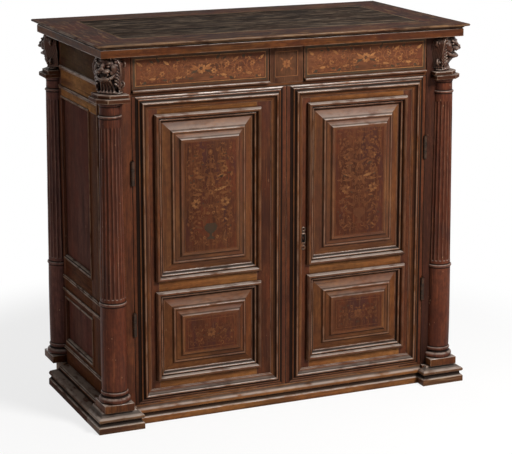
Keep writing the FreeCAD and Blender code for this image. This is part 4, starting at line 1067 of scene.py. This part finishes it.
def sprigs(low, high, cell, spared=(), calm=0.0):
    # small leaves, buds and tendrils over a field, in loose rows; spared are discs that stay free
    look = sprigLook
    stray = look["stray"]
    shapes = []
    rows = [int((high[k] - low[k]) / cell) for k in (0, 1)]
    for i in range(rows[0]):
        for j in range(rows[1]):
            at = [low[k] + (n + 0.5 + dice.uniform(-stray, stray)) * cell for k, n in ((0, i), (1, j))]
            kind, angle, tint = dice.random(), dice.uniform(0, fullTurn), dice.uniform(*look["tints"]) - calm
            if any(math.hypot(at[0] - x, at[1] - y) < r for x, y, r in spared):
                continue
            if kind < look["leavesTo"]:
                for fan in (-0.7, 0.1, 0.8):
                    shapes += leaf(at, angle + fan, cell * 0.62, cell * 0.24, 0.2 * fan, tint - 0.1 * abs(fan), 4)
            elif kind < look["flowersTo"]:
                shapes += flower(at, cell * 0.40, 5, tint + 0.06, angle)
            elif kind < look["tendrilsTo"]:
                curl = [(at[0] + math.cos(angle + k * 0.6) * r, at[1] + math.sin(angle + k * 0.6) * r)
                        for k, r in ((k, cell * (0.52 - k * 0.045)) for k in range(9))]
                shapes += ribbon(curl, cell * 0.13, tint)
            else:
                shapes += leaf(at, angle, cell * 0.55, cell * 0.30, 0.1, 0.02, 4)
    return shapes


bouquetLook = {  # shares of the tablet's width and height, from its middle and its foot
    "cell": 13.5, "margin": 0.05,
    "sprays": [((0.01, 0.30), (0.16, 0.33), (0.27, 0.435), 0.090, 8, 0.80),
               ((0.01, 0.36), (0.10, 0.50), (0.31, 0.600), 0.060, 7, 0.64),
               ((0.01, 0.46), (0.07, 0.68), (0.26, 0.735), 0.070, 7, 0.74),
               ((0.01, 0.62), (0.05, 0.80), (0.25, 0.865), 0.055, 6, 0.66),
               ((0.02, 0.31), (0.24, 0.26), (0.37, 0.320), 0.050, 6, 0.58),
               ((0.03, 0.12), (0.20, 0.07), (0.36, 0.135), 0.050, 5, 0.54)],
    "leaves": [((0.06, 0.545), 0.14, 0.28, 0.045, 0.10, 0.98), ((0.16, 0.655), 0.5, 0.10, 0.05, 0.0, 0.04),
               ((0.14, 0.205), 0.3, 0.20, 0.05, 0.2, 0.50), ((0.10, 0.26), 0.9, 0.14, 0.04, -0.2, 0.66),
               ((0.36, 0.50), 1.4, 0.11, 0.045, 0.1, 0.55), ((0.38, 0.80), 1.9, 0.12, 0.045, 0.2, 0.62),
               ((0.33, 0.22), 1.2, 0.13, 0.05, 0.2, 0.46), ((0.12, 0.90), 0.6, 0.12, 0.04, 0.1, 0.60),
               ((0.39, 0.66), 1.5, 0.10, 0.045, -0.1, 0.72)],
    "middle": [(0.405, 0.045, 6, 0.70), (0.53, 0.055, 8, 0.80), (0.66, 0.060, 7, 0.62), (0.775, 0.050, 6, 0.76)],
    "vase": [(0.075, 0.105), (0.065, 0.122), (0.022, 0.132), (0.020, 0.155), (0.060, 0.168), (0.105, 0.190),
             (0.125, 0.218), (0.115, 0.232), (0.085, 0.238), (0.10, 0.250)],
    "vaseDisc": (0.20, 0.17), "stem": (0.250, 0.55, 0.86), "tulip": (0.865, 0.11),
    "hoops": [([(-0.11, 0.212), (0, 0.206), (0.11, 0.212)], 0.30), ([(-0.09, 0.246), (0.09, 0.246)], 0.55)],
}


def bouquet(w, h, vaseTint):
    look = bouquetLook
    half, spared = [], []
    for foot, bend, head, radius, petals, tint in look["sprays"]:
        foot, bend, head = ((x * w, y * h) for x, y in (foot, bend, head))
        half += spray(foot, bend, head) + flower(head, radius * w, petals, tint, head[0])
        spared.append((*head, radius * w))
    for (x, y), angle, length, wide, bend, tint in look["leaves"]:
        half += leaf((x * w, y * h), angle, length * w, wide * w, bend, tint)
    spared.append((0, look["vaseDisc"][0] * h, look["vaseDisc"][1] * w))
    edge = look["margin"] * w
    ground = sprigs((1, edge), (w / 2 - edge, h - edge), look["cell"], spared, 0.06)
    foot, bend, head = (y * h for y in look["stem"])
    shapes = mirrored(ground) + mirrored(half) + stem((0, foot), (0.5, bend), (0, head), 1.4, 0.56)
    outline = [(x * w, y * h) for x, y in look["vase"]]
    shapes += [(outline + [(-x, y) for x, y in outline[::-1]], vaseTint)]
    for points, tint in look["hoops"]:
        shapes += ribbon([(x * w, y * h) for x, y in points], 1.8, tint)
    for y, radius, petals, tint in look["middle"]:
        shapes += flower((0, y * h), radius * w, petals, tint, y * 9)
    return shapes + tulip((0, look["tulip"][0] * h), math.pi / 2, look["tulip"][1] * w, 0.70)


def smallSpray(w, h):
    half = spray((0.02 * w, 0.5 * h), (0.12 * w, 0.72 * h), (0.25 * w, 0.55 * h), 4, 0.56)
    half += spray((0.02 * w, 0.48 * h), (0.12 * w, 0.28 * h), (0.27 * w, 0.40 * h), 4, 0.52)
    half += flower((0.26 * w, 0.5 * h), 0.04 * w, 6, 0.60)
    ground = sprigs((1, 13), (w / 2 - 12, h - 12), 13, [(0, 0.5 * h, 0.1 * w)], 0.16)
    return mirrored(ground) + mirrored(half) + flower((0, 0.5 * h), 0.085 * w, 8, 0.66)


scrollLook = {  # shares of the drawer's height, apart from the vine's start and run along its width
    "turns": 4, "start": 0.05, "run": 0.42, "swing": 0.20, "cell": 9.5,
    "sprays": [(0.30, 0.22), (-0.28, 0.16), (0.12, 0.34)],
    "leaves": [(0.05, -0.18, -0.4, 0.22, 0.08, 0.95), (0.02, 0.27, 0.7, 0.17, 0.08, 0.0),
               (-0.04, -0.26, -0.2, 0.16, 0.06, 0.03)],
    "middle": [(0.5, 0.84), (-0.6, 0.05), (0.0, 0.70)],
}


def scrolls(w, h):
    # a flower in the middle and a running vine with curled leaves to both sides
    look = scrollLook
    start, run, turns, mid = look["start"] * w, look["run"] * w, look["turns"], h / 2
    vine = [(start + run * t, mid + math.sin(t * turns * math.pi) * look["swing"] * h)
            for t in (k / 48 for k in range(49))]
    half = ribbon(vine, 1.5, 0.66)
    for k in range(turns):
        x = start + run * (k + 0.5) / turns
        up = 1 if k % 2 == 0 else -1
        centre = (x, mid - up * 0.08 * h)
        curl = [(centre[0] + math.cos(a) * r, centre[1] + math.sin(a) * r * up)
                for a, r in ((1.2 + j * 0.45, h * (0.24 - j * 0.0150)) for j in range(14))]
        half += ribbon(curl, 1.4, 0.72) + flower(centre, 0.085 * h, 6, 0.80 - 0.08 * (k % 2), k)
        foot = mid + up * 0.16 * h
        for reach, lift in look["sprays"]:
            tip = (x + reach * h, mid + up * (0.10 + lift) * h)
            half += spray((x, foot), (x + reach * h * 0.7, foot), tip, 3, 0.68)
        for shift, lift, angle, length, wide, tint in look["leaves"]:
            half += leaf((x + shift * w, mid + up * lift * h), up * angle, length * h, wide * h, 0.2, tint)
    ground = sprigs((0.10 * w, 0.17 * h), (0.5 * w, 0.86 * h), look["cell"], (), 0.04)
    for angle, tint in look["middle"]:
        half += leaf((0.10 * h, mid), angle, 0.26 * h, 0.085 * h, 0.1, tint)
    star = flower((0, mid), 0.15 * h, 9, 0.78) + flower((0, mid), 0.07 * h, 6, 0.1)
    return mirrored(ground) + mirrored(half) + star


def marquetry(name, shapes, place, corner, body, finish):
    # thin let-in pieces; corner is the lower middle of the ground that they lie on
    bm = bmesh.new()
    grain, tintLayer = bm.verts.layers.float_vector.new("grain"), bm.verts.layers.float.new("tint")
    for k, (points, tint) in enumerate(shapes):
        seed = newSeed()
        shade = tint + dice.uniform(-0.07, 0.07)
        lift = inlayLook["lift"] * (k % inlayLook["layers"])  # pieces that cross lie on each other
        rings = []
        for h in (-inlayLook["depth"], inlayLook["proud"] + lift):
            ring = []
            for x, y in points:
                vert = bm.verts.new(place(corner[0] + x, corner[1] + y, h) * mm)
                vert[grain] = Vector((y, x, h)) * mm + seed
                vert[tintLayer] = shade
                ring.append(vert)
            rings.append(ring)
        skin(bm, rings)
    piece(name, bm, finish, (), body, 30)


# drawers and frieze

drawerLook = {
    "lip": [(0, -8), (0, 6)] + bow((0.3, 6), (7.2, 8), 2.2, 8) + [(7.5, 0), (7.5, -8)],
    "lipReach": 10, "lipHeight": 7.5, "sideGround": 40,
    "bands": [(3, 7, 0.03), (10, 1.5, 0.9), (12, 2.5, 0.3)], "blockBands": [(14, 3, 0.2), (17, 1.2, 0.78)],
    "star": [(13, 8, 0.68), (6, 6, 0.45)], "starLeaf": 15,
}
for side in ("left", "right"):
    body = f"{side}_drawer"
    low, high = boxOf(f"{side}_drawer_front")
    front, ground = low[1] + drawerLook["lipReach"], low[2] + drawerLook["lipHeight"]
    boards(f"{side}DrawerFront", [((low[0], front, ground), high, 0, 1.0)], "drawerWalnut",
           [f"{side}_drawer_front"], body)
    bm = newMesh()
    moulding(bm, onFront(front), (low[0] + 1, low[2]), (high[0] - 1, low[2]), (0, 1),
             softened(drawerLook["lip"], 0.5))
    piece(f"{side}DrawerLip", bm, "walnut", (), body)
    width, height = high[0] - low[0], high[2] - ground
    shapes = [bar for band in drawerLook["bands"] for bar in stringing(width, height, *band)]
    shapes += scrolls(width - drawerLook["sideGround"], height)
    marquetry(f"{side}DrawerInlay", shapes, onFront(front), ((low[0] + high[0]) / 2, ground), body, "drawerInlay")
low, high = boxOf("centre_block")
boards("centreBlock", [(low, high, 2, 1.0)], "blockWalnut", ["centre_block"])
width, height = high[0] - low[0], high[2] - low[2]
shapes = [bar for band in drawerLook["blockBands"] for bar in stringing(width, height, *band)]
for radius, petals, tint in drawerLook["star"]:
    shapes += flower((0, height / 2), radius, petals, tint)
for angle in (math.pi / 4 + k * math.pi / 2 for k in range(4)):
    at = (math.cos(angle) * drawerLook["starLeaf"], height / 2 + math.sin(angle) * drawerLook["starLeaf"])
    shapes += leaf(at, angle, 12, 5, 0.1, 0.60)
marquetry("centreInlay", shapes, onFront(low[1]), ((low[0] + high[0]) / 2, low[2]), "carcass", "drawerInlay")
boards("drawerBlade", [(*boxOf("drawer_blade"), 0, 0.8)], "walnut", ["drawer_blade"])
print("drawers done")


# doors

doorLook = {
    "edge": [(37, -1), (0, -1), (0, 1.2), (7, 2.6), (7.4, 4.2), (9, 4.6)] + bow((9.4, 4.6), (16.6, 10.2), -1.6, 6)
    + [(16.8, 11.0)] + bow((17, 11.2), (22, 11.2), 1.9, 7) + [(22.6, 9.4)] + bow((22.8, 9), (32, 3.2), -1.0, 6)
    + [(33, 3.2), (34, 2.2), (37, 1.6)],
    # the last of these is how far in from its outer edge an upright run gets painted shade
    "edgeOut": 9, "edgeMeeting": 11.2, "edgeFoot": 3.5, "edgeHead": 0.5, "edgeShadeTo": 8.5,
    "bolection": [(26, -8), (0, -8), (0, 8.5), (1.4, 9.5)] + bow((1.4, 10), (11, 9), 4.5, 9)
    + [(12, 6.6), (12.6, 3.4)] + bow((13.4, 3.4), (19, 3), 2.2, 6) + [(19.6, 0.6)]
    + bow((20, 0.4), (25.4, -3.4), -0.9, 5) + [(26, -3.8)],
    "field": [(10, -12), (10, -9.5), (24, -4.6)] + bow((24, -4.6), (48.6, 4.6), -0.7, 6)
    + [(49.2, 5.0), (49.4, 6.6)] + bow((49.6, 7.2), (54.6, 9.6), 1.6, 6) + bow((55.5, 9.2), (70.4, 14.6), -0.5, 4)
    + [(70.8, 15.6)] + bow((71, 16.2), (76, 18.8), 1.4, 6) + [(79, 18.9), (79, -12)],
    "seat": 10, "tablet": 78.8, "tabletRise": 18.9, "tabletBack": 20, "calmFrom": 66,
    "upperBands": [(2, 1.2, 0.62)], "lowerBands": [(2, 1.1, 0.6), (9, 1.3, 0.64)],
}


def doorFrame(side, sx):
    look = doorLook
    seat = look["seat"]
    low, high = boxOf(f"{side}_door_frame")
    upperLow, upperHigh = boxOf(f"{side}_door_upper_moulding")
    lowerLow, lowerHigh = boxOf(f"{side}_door_lower_moulding")
    x0, x1 = upperLow[0] + seat, upperHigh[0] - seat
    hinge = x1 if sx > 0 else x0
    body = f"{side}_door"

    def onHingeStile(face):
        reach = [sx * v.co.x / mm for v in face.verts]
        return min(reach) > sx * hinge - 0.02 and not (max(reach) < sx * hinge + 0.02 and sx * face.normal.x > 0.5)

    bm = easedCopy(f"{side}_door_frame", 0.8, keep=onHingeStile)
    meeting = (low[0], x0) if sx > 0 else (x1, high[0])
    board(bm, (meeting[0], low[1], low[2]), (meeting[1], high[1], high[2]), 2, 0.9)
    spread = Vector((1, 3.1, 7.3))  # puts the faces in the same order in each run
    bm.faces.sort(key=lambda face: face.calc_center_median().dot(spread))
    piece(f"{side}DoorStiles", bm, "stileWalnut", [f"{side}_door_frame"], body)
    rails = ((low[2], lowerLow[2] + seat), (lowerHigh[2] - seat, upperLow[2] + seat),
             (upperHigh[2] - seat, high[2]))
    parts = [((x0, low[1], z0), (x1, high[1], z1), 0, 0.7) for z0, z1 in rails]
    boards(f"{side}DoorRails", parts, "railWalnut", (), body)
    stile = sorted((sx * low[0], sx * high[0]))  # the meeting edge and the hinge edge, outwards
    outs = sorted((sx * (stile[1] - look["edgeOut"]), sx * (stile[0] + look["edgeMeeting"])))
    edge = softened(look["edge"], 0.4)
    # the outer strip of each upright run is made near-black: painted shade
    edgeShadeProfile = [(d, h, min(worn, -0.8) if d < look["edgeShadeTo"] else worn) for d, h, worn in edge]
    bm = newMesh()
    bottom, top = low[2] + look["edgeFoot"], high[2] - look["edgeHead"]
    mouldingFrame(bm, onFront(low[1]), (outs[0], bottom), (outs[1], top), edge, upright=edgeShadeProfile)
    piece(f"{side}DoorEdge", bm, "edgeWalnut", [f"{side}_door_edge_moulding"], body)


def doorPanel(side, level):
    look = doorLook
    name, node, body = f"{side}Door{level.title()}", f"{side}_door_{level}", f"{side}_door"
    front = boxOf(f"{side}_door_frame")[0][1]
    low, high = boxOf(f"{node}_moulding")
    rect = (low[0], low[2]), (high[0], high[2])
    bm = newMesh()
    mouldingFrame(bm, onFront(front), *rect, softened(look["bolection"], 0.4))
    piece(f"{name}Moulding", bm, "walnut", [f"{node}_moulding"], body)
    field = [(d, h, min(worn, 0.3) if d > look["calmFrom"] else worn)
             for d, h, worn in softened(look["field"], 0.4)]
    bm = newMesh()
    mouldingFrame(bm, onFront(front), *rect, field, sway=0.2)
    # lower fields take the copy with less painted sheen
    finish = "fieldWalnut" if level == "upper" else "lowFieldWalnut"
    piece(f"{name}Field", bm, finish, [f"{node}_panel"], body)
    edge, face = look["tablet"], front - look["tabletRise"]
    back = front + look["tabletBack"]
    tablet = (low[0] + edge, face, low[2] + edge), (high[0] - edge, back, high[2] - edge), 2, 0.5
    boards(f"{name}Tablet", [tablet], "panelWalnut", (), body)
    width, height = high[0] - low[0] - 2 * edge, high[2] - low[2] - 2 * edge
    shapes = [bar for band in look[f"{level}Bands"] for bar in stringing(width, height, *band)]
    if level == "upper":
        shapes += bouquet(width, height, 0.03 if side == "left" else 0.30)
    else:
        shapes += smallSpray(width, height)
    marquetry(f"{name}Inlay", shapes, onFront(face), ((low[0] + high[0]) / 2, low[2] + edge), body,
              "inlay" if side == "left" else "fadedInlay")


for side, sx in bothSides:
    doorFrame(side, sx)
    for level in ("upper", "lower"):
        doorPanel(side, level)
print("doors done")


# inside boards and iron

insideLook = {"shelf": 0, "shelf_bearers": 1, "floor_boards": 0, "drawer_runners": 1, "left_drawer_box": 1,
              "right_drawer_box": 1}  # the axis of the grain
for node, axis in insideLook.items():
    finish = "drawerWood" if "box" in node else f"{node}Wood"
    if finish not in finishes:
        woodFinish(finish, woodLooks["plainWood"], axis)
    frame["nodes"][node].data.materials[0] = finishes[finish]
for node in ("hinge_frame_leaves", "hinge_pins", "left_door_hinges", "right_door_hinges", "door_keep",
             "bolt_guides", "inside_bolt", "lock_case", "lock_bolt"):
    frame["nodes"][node].data.materials[0] = finishes["iron"]

escutcheonLook = {  # half sizes of each ring and of its hole, how square they are, and how thick it is
    "loop": ((7.2, 7.2), 1, (3.2, 3.2), 1, 2.4), "neck": ((4.5, 4), 0.6, (1.2, 1.2), 1, 1.6),
    "frame": ((7.5, 16), 0.35, (4.4, 12), 0.35, 3.2), "plate": ((5.4, 13), 0.35, (1.5, 5), 0.8, 1.2),
    "loopAt": 27, "neckAt": 18, "keyholeUp": 1, "count": 24,
}


def ovalRing(centre, size, square):
    # points round a rounded rectangle; square is 1 for a circle and smaller for squarer corners
    points = []
    for a in ringTurns(escutcheonLook["count"]):
        c, s = math.cos(a), math.sin(a)
        points.append((centre[0] + size[0] * math.copysign(abs(c) ** square, c),
                       centre[1] + size[1] * math.copysign(abs(s) ** square, s)))
    return points


def pierced(bm, x, z, back, size, square, hole, holeSquare, thick, holeUp=0):
    # a flat plate with a hole and a rounded rim
    outer, inner = ovalRing((x, z), size, square), ovalRing((x, z + holeUp), hole, holeSquare)
    middle = [((a[0] + b[0]) / 2, (a[1] + b[1]) / 2) for a, b in zip(outer, inner)]
    front = back - thick
    rim = along(back, front, 0.6)
    rings = [(outer, back), (outer, rim), (middle, front), (inner, rim), (inner, back)]
    made = [[bm.verts.new(Vector((u, y, v)) * mm) for u, v in points] for points, y in rings]
    skin(bm, made + made[:1], False)


look = escutcheonLook
low, high = boxOf("escutcheon")
x, back, z = (low[0] + high[0]) / 2, high[1], (low[2] + high[2]) / 2
bm = bmesh.new()
for sign in (-1, 1):
    pierced(bm, x, z + sign * look["loopAt"], back, *look["loop"])
    pierced(bm, x, z + sign * look["neckAt"], back, *look["neck"])
pierced(bm, x, z, back, *look["frame"])
piece("lockEscutcheon", bm, "wornIron", ["escutcheon"], "right_door")
# a near-black plate fills the escutcheon's opening round the keyhole: painted shade
bm = bmesh.new()
pierced(bm, x, z, back, *look["plate"], look["keyholeUp"])
piece("keyholeShadePlate", bm, "keyholeShadeIron", (), "right_door")
print("inside and iron done")


# floor, light and camera

stageLook = {
    "floor": 9.0, "clear": (0.9, 1.35), "lift": 0.78, "ambient": 0.14,
    "paper": ((0.94, 0.95, 0.96), (0.97, 0.98, 0.99)),
    "lamps": {  # place, aim, size, power and colour
        "keyLamp": ((1.5, -3.2, 3.1), (0, -0.25, 0.55), 1.2, 225, (1.0, 0.98, 0.95)),
        "fillLamp": ((-3.6, -0.6, 2.2), (0, 0, 0.5), 2.0, 12, (1.0, 0.95, 0.92)),
        "backLamp": ((0.9, 4.2, 0.45), (0, 0.3, 0.55), 1.1, 70, (1.0, 0.98, 0.95))},
}


def directLight(root):
    # 1 for the rays that see the white, 0 for those that carry light
    rays = ("Is Camera Ray", "Is Glossy Ray", "Is Transmission Ray")
    return sum(root.node("ShaderNodeLightPath", {}, {}, ray) for ray in rays)


bm = bmesh.new()
bmesh.ops.create_grid(bm, x_segments=1, y_segments=1, size=stageLook["floor"])
mesh = bpy.data.meshes.new("studioFloor")
bm.to_mesh(mesh)
bm.free()
studioFloor = bpy.data.objects.new("studioFloor", mesh)
bpy.context.scene.collection.objects.link(studioFloor)
root = newFinish("paper")
away = root.node("ShaderNodeVectorMath", {"operation": "LENGTH"}, {0: ownPlace(root)}, 1)
lift = stageLook["lift"]
clear = (between(root, away, *stageLook["clear"]) * (1 - lift) + lift) * directLight(root)
tooth = speckle(root, ownPlace(root), (40, 40, 40), 2)
matt = root.node("ShaderNodeBsdfDiffuse", {}, {"Color": blend(root, *stageLook["paper"], tooth)})
glow = root.node("ShaderNodeEmission", {}, {"Color": (1, 1, 1, 1), "Strength": 1.0})
showAs(root, root.node("ShaderNodeMixShader", {}, {0: clear, 1: matt, 2: glow}))
mesh.materials.append(finishes["paper"])
studioFloor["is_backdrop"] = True

world = bpy.data.worlds.new("studio")
bpy.context.scene.world = world
world.use_nodes = True
world.node_tree.nodes.clear()
root = Wire(world.node_tree)
strength = root.node("ShaderNodeMapRange", {}, {0: directLight(root), 3: stageLook["ambient"], 4: 1.0})
sky = root.node("ShaderNodeBackground", {}, {"Color": (1, 1, 1, 1), "Strength": strength})
showAs(root, sky, "ShaderNodeOutputWorld")


def facing(name, data, at, gaze):
    made = bpy.data.objects.new(name, data)
    made.location = at
    made.rotation_euler = gaze.to_track_quat("-Z", "Y").to_euler()
    bpy.context.scene.collection.objects.link(made)
    return made


for name, (at, aim, size, power, colour) in stageLook["lamps"].items():
    data = bpy.data.lights.new(name, "AREA")
    data.shape = "DISK"
    data.size = size
    data.energy = power
    data.color = colour
    facing(name, data, at, Vector(aim) - Vector(at))

cameraLook = {"at": (-2.021, -4.669, 1.747), "yaw": 23.65, "pitch": 12.47, "focus": 1767.0, "shift": -0.1,
              "imageWidth": 512, "sensor": 36}
eye = bpy.data.cameras.new("camera")
eye.sensor_fit = "HORIZONTAL"
eye.sensor_width = cameraLook["sensor"]
eye.lens = cameraLook["sensor"] * cameraLook["focus"] / cameraLook["imageWidth"]
eye.shift_y = cameraLook["shift"]
yaw, pitch = math.radians(cameraLook["yaw"]), math.radians(cameraLook["pitch"])
gaze = Vector((math.sin(yaw) * math.cos(pitch), math.cos(yaw) * math.cos(pitch), -math.sin(pitch)))
bpy.context.scene.camera = facing("camera", eye, cameraLook["at"], gaze)
bpy.context.scene.view_settings.view_transform = "Standard"

low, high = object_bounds()
{"cad": [list(cadLow), list(cadHigh)], "visual": [list(low), list(high)]}
print("stage done")
